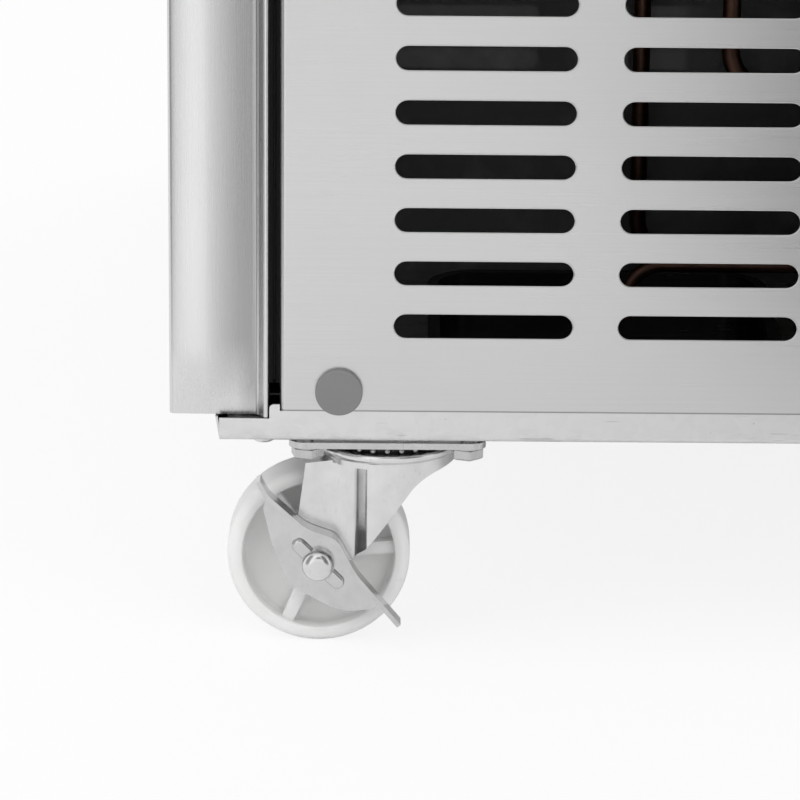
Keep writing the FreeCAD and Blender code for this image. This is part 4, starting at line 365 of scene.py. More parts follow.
@dataclass(frozen=True)
class Galvanised(Finish):
    """Zinc-dipped sheet with faint spangle, small dark specks, scratches and grime along its foot."""

    tone: float = 0.74
    rough: float = 0.36
    foot_rise: float = 2.2 * MM
    grimed: float = 7.0 * MM
    depth: float = 0.06 * MM
    spangle: float = 240.0
    specks: float = 150.0
    mottling: Spot = (120.0, 60.0, 120.0)
    scratches: Spot = (900.0, 45.0, 900.0)
    smears: Spot = (60.0, 60.0, 170.0)

    def material(self) -> Material:
        """Makes the galvanised sheet.

        Returns:
            The material.
        """
        recipe = Recipe(self.name)
        _, flake = recipe.cells(self.spangle)
        flakes = recipe.shade(flake, 0.1, 0.9)
        mottle = recipe.noise(self.mottling, 4.0, 0.6)
        near, pick = recipe.cells(self.specks)
        speck = recipe.shade(near, 0.085, 0.045) * (pick > 0.6)
        scratch = recipe.shade(recipe.noise(self.scratches, 2.0), 0.71, 0.76)
        tint = recipe.mix(0.35 * flakes + 0.65 * mottle, grey(self.tone * 0.92), grey(self.tone * 1.06))
        marked = recipe.mix(scratch * 0.55, tint, grey(self.tone * 0.55))
        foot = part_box("base_frame")[0].z + self.foot_rise
        low = recipe.shade(recipe.height(), foot + self.grimed, foot)
        grime = recipe.shade(recipe.noise(self.smears, 4.0, 0.65), 0.5, 0.72) * low
        marked = recipe.mix(grime * 0.5, marked, grey(self.tone * 0.45))
        return recipe.coat({
            "Base Color": recipe.mix(speck * 0.8, marked, grey(0.12)),
            "Metallic": 1.0 - speck * 0.8,
            "Roughness": self.rough + (flakes - 0.5) * 0.06 + (mottle - 0.5) * 0.14,
            "Normal": recipe.bump(mottle, self.depth, 0.25)})


@dataclass(frozen=True)
class ZincPlate(Finish):
    """Bright zinc plating on stamped steel, a little uneven and rubbed."""

    tone: float = 0.75
    rough: float = 0.22
    grease_and_shade_below: float = 0.0
    shadow_seams: tuple[float, ...] = ()
    seam_half: float = 0.35 * MM
    grease_and_shade_edge: float = 0.4 * MM
    depth: float = 0.04 * MM
    clouds: float = 110.0
    pores: float = 900.0
    rubs: Spot = (260.0, 900.0, 260.0)

    def marked(self, recipe: Recipe, tint: Socket) -> Socket:
        """Paints a thin shadow line all round at the height of each seam.

        Args:
            recipe: the tree that is filled.
            tint: the plated colour.

        Returns:
            The colour with the painted shadow lines.
        """
        # Painted shadow: each line darkens the metal where shade falls into the seam.
        for level in self.shadow_seams:
            off = recipe.height() - level
            tint = recipe.mix(recipe.shade(off * off, self.seam_half ** 2, 0.0) * 0.75, tint, grey(0.04))
        return tint

    def material(self) -> Material:
        """Makes the plated steel.

        Returns:
            The material.
        """
        recipe = Recipe(self.name)
        cloud = recipe.noise(self.clouds, 4.0, 0.6)
        fine = recipe.noise(self.pores, 2.0)
        rub = recipe.shade(recipe.noise(self.rubs, 2.0), 0.64, 0.74)
        tint = recipe.mix(recipe.shade(cloud, 0.3, 0.7), grey(self.tone * 0.92), grey(self.tone * 1.06))
        worn = self.marked(recipe, recipe.mix(rub * 0.35, tint, grey(self.tone * 0.7)))
        inputs = {
            "Base Color": worn,
            "Metallic": 1.0,
            "Roughness": self.rough + (cloud - 0.5) * 0.20 + (fine - 0.5) * 0.08,
            "Normal": recipe.bump(fine, self.depth, 0.25)}
        # Grease and painted shade: below this height the plate goes near black, for the greased race and the
        # shade under the plate.
        if self.grease_and_shade_below > 0:
            grease_and_shade = recipe.shade(recipe.height(), self.grease_and_shade_below, self.grease_and_shade_below - self.grease_and_shade_edge)
            inputs["Base Color"] = recipe.mix(grease_and_shade * (0.85 + fine * 0.15), worn, grey(0.02))
            inputs["Metallic"] = 1.0 - grease_and_shade * 0.7
        return recipe.coat(inputs)


@dataclass(frozen=True)
class ForkZinc(ZincPlate):
    """Plated fork with painted shade in the crease of its legs."""

    swivel: float = 0.0
    crown: float = 0.0
    crease_from: float = -14.4 * MM
    crease_core: float = -12.9 * MM
    crease_to: float = -9.0 * MM
    fade: float = 7.0 * MM

    def marked(self, recipe: Recipe, tint: Socket) -> Socket:
        """Paints shade into the crease, fading out just under the crown.

        Args:
            recipe: the tree that is filled.
            tint: the plated colour.

        Returns:
            The colour with the painted shade.
        """
        _, along, height = recipe.axes()
        off = along - self.swivel
        inside = (recipe.shade(off, self.crease_from, self.crease_core)
                  * recipe.shade(off, self.crease_to, self.crease_core))
        # Painted shade: the crease is darkened in the colour, less and less towards the crown.
        painted_shade = inside * recipe.shade(height, self.crown, self.crown - self.fade)
        return recipe.mix(painted_shade * 0.7, tint, grey(self.tone * 0.28))


@dataclass(frozen=True)
class Moulded(Finish):
    """Moulded plastic with a fine skin and faint handling marks."""

    colour: Colour
    rough: float
    skin: float = 700.0
    milky: float = 0.0
    bleed: float = 8.0 * MM
    depth: float = 0.05 * MM
    flow: float = 24.0
    scuffs: Spot = (330.0, 60.0, 330.0)

    def material(self) -> Material:
        """Makes the moulded plastic.

        Returns:
            The material.
        """
        recipe = Recipe(self.name)
        skin = recipe.noise(self.skin)
        flow = recipe.noise(self.flow, 3.0, 0.55)
        scuff = recipe.shade(recipe.noise(self.scuffs, 2.0), 0.66, 0.76)
        dark = tuple(0.97 * c for c in self.colour)
        light = tuple(min(1.0, 1.02 * c) for c in self.colour)
        tint = recipe.mix(recipe.shade(flow, 0.3, 0.7), dark, light)
        worn = tuple(0.86 * c + 0.02 for c in self.colour)
        return recipe.coat({
            "Base Color": recipe.mix(scuff * 0.4, tint, worn),
            "Roughness": self.rough + (skin - 0.5) * 0.12 + scuff * 0.08,
            "Subsurface Weight": self.milky,
            "Subsurface Radius": (self.bleed,) * 3,
            "Subsurface Scale": 1.0,
            "Normal": recipe.bump(skin, self.depth, 0.3)})


@dataclass(frozen=True)
class Rubber(Finish):
    """Black rubber or soft seal with a dull skin and a little dust."""

    level: float = 0.018
    depth: float = 0.08 * MM
    skin: float = 500.0
    dust: float = 110.0

    def material(self) -> Material:
        """Makes the rubber.

        Returns:
            The material.
        """
        recipe = Recipe(self.name)
        skin = recipe.noise(self.skin, 3.0)
        near, pick = recipe.cells(self.dust)
        dust = recipe.shade(near, 0.085, 0.05) * (pick > 0.74)
        tint = recipe.mix(skin, grey(self.level * 0.7), grey(self.level * 1.5))
        return recipe.coat({
            "Base Color": recipe.mix(dust * 0.8, tint, grey(0.5)),
            "Roughness": 0.55 + (skin - 0.5) * 0.2,
            "Specular IOR Level": 0.15,
            "Normal": recipe.bump(skin, self.depth, 0.4)})


@dataclass(frozen=True)
class Enamel(Finish):
    """Black gloss enamel with a slight orange peel."""

    level: float = 0.012
    rough: float = 0.16
    depth: float = 0.12 * MM
    peel: float = 260.0
    dust: float = 30.0

    def material(self) -> Material:
        """Makes the enamel.

        Returns:
            The material.
        """
        recipe = Recipe(self.name)
        peel = recipe.noise(self.peel, 2.0)
        dust = recipe.noise(self.dust, 4.0, 0.65)
        tint = recipe.mix(recipe.shade(dust, 0.5, 0.85) * 0.4, grey(self.level), grey(self.level * 3))
        return recipe.coat({
            "Base Color": tint,
            "Roughness": self.rough + (dust - 0.4) * 0.18,
            "Coat Weight": 0.3,
            "Normal": recipe.bump(peel, self.depth, 0.25)})


@dataclass(frozen=True)
class BareMetal(Finish):
    """Bare copper or aluminium with a cloudy tarnish."""

    bright: Colour
    dull: Colour
    rough: float
    depth: float = 0.04 * MM
    clouds: float = 60.0
    drawn: float = 900.0

    def material(self) -> Material:
        """Makes the bare metal.

        Returns:
            The material.
        """
        recipe = Recipe(self.name)
        cloud = recipe.noise(self.clouds, 4.0, 0.6)
        drawn = recipe.noise(self.drawn, 2.0)
        return recipe.coat({
            "Base Color": recipe.mix(recipe.shade(cloud, 0.35, 0.75), self.bright, self.dull),
            "Metallic": 1.0,
            "Roughness": self.rough + (cloud - 0.5) * 0.3 + (drawn - 0.5) * 0.1,
            "Normal": recipe.bump(drawn, self.depth, 0.3)})


@dataclass(frozen=True)
class Grained(Finish):
    """Foam or board: open cells or pressed chips in two colours."""

    light: Colour = (0.78, 0.66, 0.38)
    dark: Colour = (0.62, 0.48, 0.24)
    cell: float = 600.0
    depth: float = 0.4 * MM
    clouds: float = 22.0

    def material(self) -> Material:
        """Makes the grained block.

        Returns:
            The material.
        """
        recipe = Recipe(self.name)
        near, _ = recipe.cells(self.cell)
        cloud = recipe.noise(self.clouds, 4.0, 0.6)
        pits = recipe.shade(near, 0.1, 0.7)
        return recipe.coat({
            "Base Color": recipe.mix(pits * 0.6 + cloud * 0.4, self.dark, self.light),
            "Roughness": 0.8 + (cloud - 0.5) * 0.2,
            "Normal": recipe.bump(pits, self.depth, 0.6)})


@dataclass(frozen=True)
class DarkWindow(Finish):
    """A smoked window with faint finger marks."""

    marks: float = 160.0

    def material(self) -> Material:
        """Makes the smoked window.

        Returns:
            The material.
        """
        recipe = Recipe(self.name)
        mark = recipe.noise(self.marks, 3.0, 0.6)
        return recipe.coat({
            "Base Color": recipe.mix(mark, (0.006, 0.007, 0.009), (0.014, 0.014, 0.016)),
            "Roughness": 0.06 + recipe.shade(mark, 0.5, 0.8) * 0.18,
            "Coat Weight": 0.5})


STEEL_END = EndSteel("brushed_steel_end", "stainless", Grain.REARWARD, 0.65)
STEEL_TOP = BrushedSteel("brushed_steel_top", "stainless", Grain.ACROSS)
STEEL_FRAME = BrushedSteel("brushed_steel_frame", "stainless", Grain.UPRIGHT)
STEEL_DOOR = RolledSteel("brushed_steel_door", "stainless", Grain.UPRIGHT, 0.70, 0.27, 0.012, 0.08)
STEEL_ROOM = BrushedSteel("liner_steel", "stainless", Grain.UPRIGHT, 0.58, 0.36)
GALVANISED = Galvanised("galvanised_sheet", "galvanised")
ZINC = ZincPlate("zinc_plate", "zinc")
LEVER_ZINC = ZincPlate("lever_zinc", "zinc", 0.64, 0.20)
# Race balls: a low tone for grease and painted shade under the plate.
BALL = ZincPlate("greased_ball", "zinc", 0.34, 0.16)
WHEEL_WHITE = Moulded("white_wheel_plastic", "white_wheel", (0.78, 0.78, 0.775), 0.36, 420.0, 0.8)
PLUG_GREY = Moulded("grey_plug_plastic", "grey_plastic", (0.19, 0.19, 0.19), 0.5)
PALE = Moulded("pale_liner_plastic", "pale_plastic", (0.70, 0.71, 0.71), 0.4)
BUSH = Moulded("bush_plastic", "bush_plastic", (0.62, 0.61, 0.57), 0.45)
BLACK = Moulded("black_moulding", "black_plastic", (0.022, 0.022, 0.023), 0.42)
WINDOW = DarkWindow("smoked_window", "dark_glass")
SEAL = Rubber("black_seal", "black_rubber")
ENAMEL = Enamel("black_enamel", "black_enamel")
# Painted shade: the machine room's lining is kept as dark as the shade seen through the vent slots.
PAINTED_SHADE_LINING = Enamel("dark_lining", "black_enamel", 0.14, 0.5)
TRAY = Moulded("black_tray", "black_plastic", (0.012, 0.012, 0.012), 0.22)
ALUMINIUM = BareMetal("fin_aluminium", "aluminium", (0.72, 0.73, 0.74), (0.55, 0.55, 0.56), 0.36)
COPPER = BareMetal("tube_copper", "copper", (0.16, 0.085, 0.06), (0.07, 0.045, 0.035), 0.42)
# Painted shade: the board is dark grey so that its edge under the worktop's lip reads as a shadow line.
BOARD = Grained("sealed_board", "board", (0.20, 0.195, 0.19), (0.10, 0.098, 0.095), 260.0, 0.3 * MM)
FOAM = Grained("rigid_foam", "foam")


class Bench:
    """Dresses CAD nodes and adds pieces to the bodies of the frame."""

    def __init__(self, frame: dict) -> None:
        """Keeps the frame's nodes and an empty shelf of materials.

        Args:
            frame: what the frame loader gives.
        """
        self.nodes = frame["nodes"]
        self.body_of = {name: node["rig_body"] for name, node in frame["nodes"].items()}
        self.made: dict[str, Material] = {}

    def material(self, finish: Finish) -> Material:
        """Makes a finish's material once.

        Args:
            finish: the finish.

        Returns:
            Its material.
        """
        if finish.name not in self.made:
            self.made[finish.name] = finish.material()
        return self.made[finish.name]

    def paint(self, finishes: dict[str, Finish]) -> None:
        """Gives CAD nodes their finishes.

        Args:
            finishes: what each node is made of.
        """
        for name, finish in finishes.items():
            slots = self.nodes[name].data.materials
            for index in range(len(slots)):
                slots[index] = self.material(finish)
            LOG.info("node %s in %s", name, finish.name)

    @staticmethod
    def piece(name: str, spots: Sequence = (), faces: Sequence = ()) -> Piece:
        """Puts a mesh into the scene as an object at the origin.

        Args:
            name: what the object and its mesh are called.
            spots: the mesh's points.
            faces: the points of each face, by number.

        Returns:
            The new object.
        """
        mesh = bpy.data.meshes.new(name)
        mesh.from_pydata(spots, [], faces)
        made = bpy.data.objects.new(name, mesh)
        bpy.context.scene.collection.objects.link(made)
        return made

    def settle(self, piece: Piece, body: str, finish: Finish) -> None:
        """Ends a piece: its modifiers become mesh, and it rides on a body.

        Args:
            piece: the object at the origin.
            body: the body that carries it.
            finish: what it is made of.
        """
        graph = bpy.context.evaluated_depsgraph_get()
        plain = bpy.data.meshes.new_from_object(piece.evaluated_get(graph))
        plain.name = piece.name
        piece.modifiers.clear()
        piece.data = plain
        plain.materials.clear()
        plain.materials.append(self.material(finish))
        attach(piece, body)
        LOG.info("piece %s on %s, %d faces", piece.name, body, len(plain.polygons))

    @staticmethod
    def soften(piece: Piece, edge: float, limit: float = SHARP_ANGLE) -> None:
        """Gives a piece rounded sharp edges and even shading.

        Args:
            piece: the object.
            edge: how wide its sharp edges are rounded, in metres.
            limit: the least angle of a sharp edge, in degrees.
        """
        if edge > 0:
            soft = piece.modifiers.new("edge", "BEVEL")
            soft.width = edge
            soft.segments = EDGE_STEPS
            soft.limit_method = "ANGLE"
            soft.angle_limit = math.radians(limit)
            soft.miter_outer = "MITER_ARC"
        even = piece.modifiers.new("even", "WEIGHTED_NORMAL")
        even.keep_sharp = True

    def welded(self, name: str) -> bmesh.types.BMesh:
        """Copies a CAD node's mesh and joins its doubled points.

        Args:
            name: the node.

        Returns:
            The copy, which the caller frees.
        """
        work = bmesh.new()
        work.from_mesh(self.nodes[name].data)
        bmesh.ops.remove_doubles(work, verts=work.verts, dist=WELD)
        return work

    def refine(self, name: str, finish: Finish, edge: float, limit: float = SHARP_ANGLE,
               shape: Callable[[Vector], Vector] = Vector) -> None:
        """Replaces a CAD node by a copy with softened edges and smooth shading.

        Args:
            name: the node.
            finish: what it is made of.
            edge: how wide its sharp edges are rounded, in metres.
            limit: the least angle of a sharp edge, in degrees.
            shape: where each point of the node goes.
        """
        work = self.welded(name)
        work.verts.index_update()
        spots = [shape(v.co) for v in work.verts]
        faces = [[v.index for v in f.verts] for f in work.faces]
        work.free()
        made = self.piece(name + "_finished", spots, faces)
        made.data.shade_smooth()
        made.data.set_sharp_from_angle(angle=math.radians(limit))
        self.soften(made, edge, limit)
        self.settle(made, self.body_of[name], finish)
        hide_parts(name)

    def refine_all(self, finishes: dict[str, Finish], edge: float) -> None:
        """Refines several nodes, all with the same rounding of their edges."""
        for name, finish in finishes.items():
            self.refine(name, finish, edge)


class NodeTool(Graph):
    """A Geometry Nodes tree with named inputs."""

    corner_steps = 8
    bar_sides = 10

    def __init__(self, name: str) -> None:
        """Starts a tree that takes and gives a mesh.

        Args:
            name: the tree's name.
        """
        super().__init__(bpy.data.node_groups.new(name, "GeometryNodeTree"))
        face = self.tree.interface
        face.new_socket("Geometry", in_out="INPUT", socket_type="NodeSocketGeometry")
        face.new_socket("Geometry", in_out="OUTPUT", socket_type="NodeSocketGeometry")
        self.start = self.node("NodeGroupInput")
        self.end = self.node("NodeGroupOutput")
        self.keys: dict[str, str] = {}

    def size(self, name: str, kind: str = "NodeSocketFloat") -> Socket:
        """Adds a named input.

        Args:
            name: the input's name.
            kind: its socket type.

        Returns:
            The socket that gives it inside the tree.
        """
        made = self.tree.interface.new_socket(name, in_out="INPUT", socket_type=kind)
        self.keys[name] = made.identifier
        return self.start.outputs[name]

    def ring(self) -> Socket:
        """Adds a round bar that follows a flat frame with round corners, sized by four named inputs.

        Returns:
            The bar's mesh.
        """
        frame = self.node("GeometryNodeCurvePrimitiveQuadrilateral",
                          {"Width": self.size("Width"), "Height": self.size("Height")})
        eased = self.node("GeometryNodeFilletCurve", {
            "Curve": frame.outputs[0], "Radius": self.size("Corner"), "Limit Radius": True,
            "Count": self.corner_steps}, mode="POLY")
        bar = self.node("GeometryNodeCurvePrimitiveCircle",
                        {"Resolution": self.bar_sides, "Radius": self.size("Bar")})
        swept = self.node("GeometryNodeCurveToMesh", {
            "Curve": eased.outputs[0], "Profile Curve": bar.outputs[0]})
        return swept.outputs[0]

    def stand(self, mesh: Socket, turn: Spot) -> None:
        """Turns a flat mesh upright about a middle that is a named input, and ends the tree.

        Args:
            mesh: the geometry, made flat about the origin.
            turn: its turn about X, Y and Z.
        """
        stood = self.node("GeometryNodeTransform", {
            "Geometry": mesh, "Translation": self.size("Middle", "NodeSocketVector"), "Rotation": turn})
        self.close(stood.outputs[0])

    def scatter(self, instance: Socket, turn: Socket | None = None) -> None:
        """Sets an instance on every point of the object's own mesh, and ends the tree.

        Args:
            instance: what is set there.
            turn: how each one is turned, where it is.
        """
        seats = self.node("GeometryNodeMeshToPoints", {"Mesh": self.start.outputs["Geometry"]})
        every = self.node("GeometryNodeInstanceOnPoints", {"Points": seats.outputs[0], "Instance": instance})
        if turn is not None:
            self.tree.links.new(turn, every.inputs["Rotation"])
        self.close(every.outputs[0])

    def close(self, mesh: Socket) -> None:
        """Ends the tree in plain mesh with its material.

        Args:
            mesh: the geometry, instances among it.
        """
        plain = self.node("GeometryNodeRealizeInstances", {0: mesh})
        coated = self.node("GeometryNodeSetMaterial", {
            "Geometry": plain.outputs[0], "Material": self.size("Material", "NodeSocketMaterial")})
        self.tree.links.new(coated.outputs[0], self.end.inputs[0])

    def apply(self, piece: Piece, sizes: dict[str, object]) -> None:
        """Puts the tree on an object.

        Args:
            piece: the object that the tree works on.
            sizes: the value of each named input.
        """
        modifier = piece.modifiers.new("tree", "NODES")
        modifier.node_group = self.tree
        for name, given in sizes.items():
            modifier[self.keys[name]] = given


@dataclass
class Assembly:
    """A part of the scene that is made at a bench."""

    bench: Bench

    def build(self) -> None:
        """Dresses the nodes of this assembly and adds its own pieces."""
        raise NotImplementedError


@dataclass
class Cabinet(Assembly):
    """The folded steel body, its board and foam, and the fittings fixed to it."""

    fold_edge: float = 0.25 * MM
    vent_length: float = 77.0 * MM
    vent_height: float = 11.4 * MM
    vent_rows: int = 7
    vent_columns: int = 4
    vent_row_pitch: float = 23.4 * MM
    vent_column_pitch: float = 95.5 * MM
    vent_first_row: float = 38.2 * MM
    vent_first_column: float = 48.1 * MM
    vent_lip: float = 0.55 * MM
    sheet: float = 1.0 * MM
    sill_half: float = 408.0 * MM
    sill_inset: float = 2.4 * MM
    sill_gap: float = 1.1 * MM
    sill_drop: float = 3.4 * MM
    sill_rise: float = 6.6 * MM
    sill_sheet: float = 0.8 * MM
    painted: ClassVar[dict[str, Finish]] = {
        "worktop_core": BOARD, "back_panel": GALVANISED, "rear_grille": STEEL_END, "front_frame": STEEL_FRAME,
        "machine_cover": STEEL_FRAME, "inner_liner": STEEL_ROOM, "insulation": FOAM, "hinges": ZINC,
        "machine_lining": PAINTED_SHADE_LINING, "shelf_uprights": STEEL_ROOM, "shelf_clips": STEEL_ROOM,
        "shelves": STEEL_ROOM, "cable_gland": PLUG_GREY}
    smoothed: ClassVar[dict[str, Finish]] = {
        "worktop": STEEL_TOP, "side_panel_right": STEEL_END, "side_panel_left": STEEL_END,
        "control_fascia": STEEL_TOP}
    refined: ClassVar[dict[str, Finish]] = {
        "base_frame": GALVANISED, "side_caps": PLUG_GREY, "cabinet_fasteners": ZINC}

    def build(self) -> None:
        """Dresses the cabinet's nodes, and adds the slots' rounded lips and the sill."""
        self.bench.paint(self.painted)
        self.bench.refine_all(self.smoothed, 0.0)
        self.bench.refine_all(self.refined, self.fold_edge)
        self.vent_lips()
        self.sill()

    def sill(self) -> None:
        """Closes the trough in front of the floor's foam with a folded strip."""
        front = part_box("base_frame")[0].y + self.sill_inset
        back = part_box("insulation")[0].y - self.sill_gap
        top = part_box("door_right_skin")[0].z - self.sill_gap
        sheet = self.sill_sheet
        low = top - self.sill_drop
        high = top + self.sill_rise
        outline = [(front, low), (front, top), (back, top), (back, high), (back + sheet, high),
                   (back + sheet, top - sheet), (front + sheet, top - sheet), (front + sheet, low)]
        count = len(outline)
        spots = [(x, y, z) for x in (-self.sill_half, self.sill_half) for y, z in outline]
        faces = [tuple(range(count)), tuple(range(2 * count - 1, count - 1, -1))]
        for index in range(count):
            after = (index + 1) % count
            faces.append((after, index, index + count, after + count))
        piece = self.bench.piece("floor_sill", spots, faces)
        self.bench.soften(piece, self.fold_edge)
        self.bench.settle(piece, "cabinet", GALVANISED)

    def vent_lips(self) -> None:
        """Rounds the edge of every vent slot in the right end."""
        tool = NodeTool("vent_lip_rows")
        ring = tool.ring()
        spots = tool.node("GeometryNodeMeshGrid", {
            "Size X": tool.size("Columns span"), "Size Y": tool.size("Rows span"),
            "Vertices X": tool.size("Columns", "NodeSocketInt"),
            "Vertices Y": tool.size("Rows", "NodeSocketInt")})
        rows_set = tool.node("GeometryNodeInstanceOnPoints", {"Points": spots.outputs[0], "Instance": ring})
        tool.stand(rows_set.outputs[0], (math.pi / 2, 0.0, math.pi / 2))
        low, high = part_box("side_panel_right")
        columns = (self.vent_columns - 1) * self.vent_column_pitch
        rows = (self.vent_rows - 1) * self.vent_row_pitch
        middle = (high.x - self.sheet / 2,
                  low.y + self.vent_first_column + self.vent_length / 2 + columns / 2,
                  low.z + self.vent_first_row + rows / 2)
        piece = self.bench.piece("vent_lips")
        tool.apply(piece, {
            "Width": self.vent_length, "Height": self.vent_height, "Corner": self.vent_height / 2,
            "Bar": self.vent_lip, "Columns span": columns, "Rows span": rows, "Columns": self.vent_columns,
            "Rows": self.vent_rows, "Middle": middle, "Material": self.bench.material(STEEL_END)})
        self.bench.settle(piece, "cabinet", STEEL_END)
        piece.data.shade_smooth()


@dataclass
class Doors(Assembly):
    """The two doors with their skins, seals, liners and bushes."""

    skin_edge: float = 0.2 * MM
    skin_sharp: float = 30.0
    bead_radius: float = 0.7 * MM
    bead_corner: float = 3.0 * MM

    def build(self) -> None:
        """Dresses both doors and adds the bead round each seal."""
        tool = NodeTool("seal_bead")
        tool.stand(tool.ring(), (math.pi / 2, 0.0, 0.0))
        for side in ("right", "left"):
            self.bench.refine(f"door_{side}_skin", STEEL_DOOR, self.skin_edge, self.skin_sharp)
            self.bench.paint({f"door_{side}_foam": FOAM, f"door_{side}_liner": PALE,
                              f"door_{side}_gasket": SEAL, f"door_{side}_bushes": BUSH})
            self.bead(tool, side)

    def bead(self, tool: NodeTool, side: str) -> None:
        """Lays the bead round one door's seal.

        Args:
            tool: the bead's tree.
            side: which door.
        """
        low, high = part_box(f"door_{side}_gasket")
        piece = self.bench.piece(f"seal_bead_{side}")
        tool.apply(piece, {
            "Width": high.x - low.x, "Height": high.z - low.z, "Corner": self.bead_corner,
            "Bar": self.bead_radius, "Middle": (low + high) / 2, "Material": self.bench.material(SEAL)})
        self.bench.settle(piece, f"door_{side}", SEAL)
        piece.data.shade_smooth()


@dataclass(frozen=True)
class BoltLength:
    """One length of a bolt between two levels, with its sides and its radius at both."""

    name: str
    sides: int
    low: float
    high: float
    low_radius: float
    high_radius: float
    inputs: ClassVar[tuple[str, ...]] = ("sides", "low radius", "high radius", "depth", "foot")

    def cone(self, tool: NodeTool) -> Socket:
        """Adds the length to a tree, with named inputs for its sizes.

        Args:
            tool: the tree that is filled.

        Returns:
            The length's mesh.
        """
        kinds = ("NodeSocketInt", "NodeSocketFloat", "NodeSocketFloat", "NodeSocketFloat", "NodeSocketVector")
        sides, low_radius, high_radius, depth, foot = (
            tool.size(f"{self.name} {key}", kind) for key, kind in zip(self.inputs, kinds))
        cone = tool.node("GeometryNodeMeshCone", {
            "Vertices": sides, "Radius Bottom": low_radius, "Radius Top": high_radius, "Depth": depth})
        lifted = tool.node("GeometryNodeTransform", {"Geometry": cone.outputs[0], "Translation": foot})
        return lifted.outputs[0]

    def sizes(self) -> dict[str, object]:
        """Gives the value of each of its named inputs."""
        given = (self.sides, self.low_radius, self.high_radius, self.high - self.low, (0.0, 0.0, self.low))
        return {f"{self.name} {key}": value for key, value in zip(self.inputs, given)}


@dataclass
class Casters(Assembly):
    """Four casters: plates, bolts, forks, wheels and the two front brake levers."""

    plate_edge: float = 0.35 * MM
    fork_edge: float = 0.45 * MM
    wheel_edge: float = 0.3 * MM
    lever_edge: float = 0.45 * MM
    tread_from: float = 24.4 * MM
    tread_share: float = 0.45
    ball_radius: float = 1.5 * MM
    ball_segments: int = 10
    ball_rings: int = 6
    ball_ring: float = 29.4 * MM
    ball_drop: float = 4.8 * MM
    balls: int = 30
    bolt: tuple[BoltLength, ...] = (
        BoltLength("Chamfer", 6, -6.3 * MM, -5.6 * MM, 6.5 * MM, 7.4 * MM),
        BoltLength("Head", 6, -5.6 * MM, -1.4 * MM, 7.4 * MM, 7.4 * MM),
        BoltLength("Collar", 28, -1.8 * MM, -1.1 * MM, 6.9 * MM, 8.0 * MM),
        BoltLength("Flange", 28, -1.1 * MM, 0.0, 8.0 * MM, 8.0 * MM),
        BoltLength("Shank", 16, 0.0, 6.1 * MM, 4.0 * MM, 4.0 * MM))
    bolt_edge: float = 0.25 * MM
    bolt_sharp: float = 30.0
    # Drops under the plate top of the painted shadow lines on the bolts.
    bolt_shadow_seams: tuple[float, float] = (3.1 * MM, 4.5 * MM)
    plate_sheet: float = 2.9 * MM
    grease_and_shade_drop: float = 3.2 * MM
    crown_drop: float = 6.9 * MM
    bolt_turn: tuple[float, float] = (math.radians(8.0), math.radians(24.0))
    bolt_seed: int = 4

    def build(self) -> None:
        """Dresses the casters and fills their races with balls."""
        # The plates go near black low down: grease on the race, and painted shade under the plate.
        grease_and_shade = ZincPlate("greased_race", "zinc", 0.60, 0.26, self.plate_top() - self.grease_and_shade_drop)
        self.bench.refine("caster_plates", grease_and_shade, self.plate_edge)
        self.bolts()
        self.race_balls()
        for place, (_, swivel, level) in zip(CASTER_PLACES, self.swivels()):
            plated = ForkZinc(f"{place.split('_')[0]}_fork_zinc", "zinc", swivel=swivel,
                              crown=level - self.crown_drop)
            self.bench.refine(f"caster_{place}_fork", plated, self.fork_edge)
            self.bench.refine(f"caster_{place}_wheel", WHEEL_WHITE, self.wheel_edge)
        for place in ("front_right", "front_left"):
            self.lever(place)

    def lever(self, place: str) -> None:
        """Dresses a brake lever whose tread is drawn in to a narrow turned edge.

        Args:
            place: which caster.
        """
        low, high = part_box(f"caster_{place}_wheel")
        middle = (low.x + high.x) / 2

        def drawn_in(spot: Vector) -> Vector:
            """Moves a point of the tread towards the lever's leaf."""
            over = max(0.0, abs(spot.x - middle) - self.tread_from) * (1.0 - self.tread_share)
            return spot - Vector((math.copysign(over, spot.x - middle), 0.0, 0.0))

        self.bench.refine(f"brake_{place}", LEVER_ZINC, self.lever_edge, shape=drawn_in)

    def bolts(self) -> None:
        """Sets flanged bolts with chamfered heads in place of the plain ones, each turned its own way."""
        shadow_seams = tuple(self.plate_top() - drop for drop in self.bolt_shadow_seams)
        plated = ZincPlate("bolt_zinc", "zinc", 0.56, 0.18, shadow_seams=shadow_seams)
        tool = NodeTool("flanged_bolts")
        whole = tool.node("GeometryNodeJoinGeometry")
        sizes = {"Least turn": self.bolt_turn[0], "Most turn": self.bolt_turn[1],
                 "Material": self.bench.material(plated)}
        for part in self.bolt:
            tool.tree.links.new(part.cone(tool), whole.inputs[0])
            sizes.update(part.sizes())
        smooth = tool.node("GeometryNodeSetShadeSmooth", {"Geometry": whole.outputs[0]})
        turn = tool.node("FunctionNodeRandomValue", {
            2: tool.size("Least turn"), 3: tool.size("Most turn"), "Seed": self.bolt_seed}, data_type="FLOAT")
        upright = tool.node("ShaderNodeCombineXYZ", {"Z": turn.outputs[1]})
        tool.scatter(smooth.outputs[0], upright.outputs[0])
        piece = self.bench.piece("flanged_bolts", self.bolt_seats())
        tool.apply(piece, sizes)
        self.bench.soften(piece, self.bolt_edge, self.bolt_sharp)
        self.bench.settle(piece, "cabinet", plated)
        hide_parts("caster_bolts")

    def bolt_seats(self) -> list[Spot]:
        """Finds where each bolt's flange sits under its plate.

        Returns:
            A point under the plate on the middle line of each CAD bolt.
        """
        seat = self.plate_top() - self.plate_sheet
        work = self.bench.welded("caster_bolts")
        waiting = set(work.verts)
        seats = []
        while waiting:
            island = [waiting.pop()]
            for vertex in island:
                joined = {edge.other_vert(vertex) for edge in vertex.link_edges} & waiting
                waiting -= joined
                island.extend(joined)
            x = (min(v.co.x for v in island) + max(v.co.x for v in island)) / 2
            y = (min(v.co.y for v in island) + max(v.co.y for v in island)) / 2
            seats.append((round(x, 6), round(y, 6), seat))
        work.free()
        return sorted(seats)

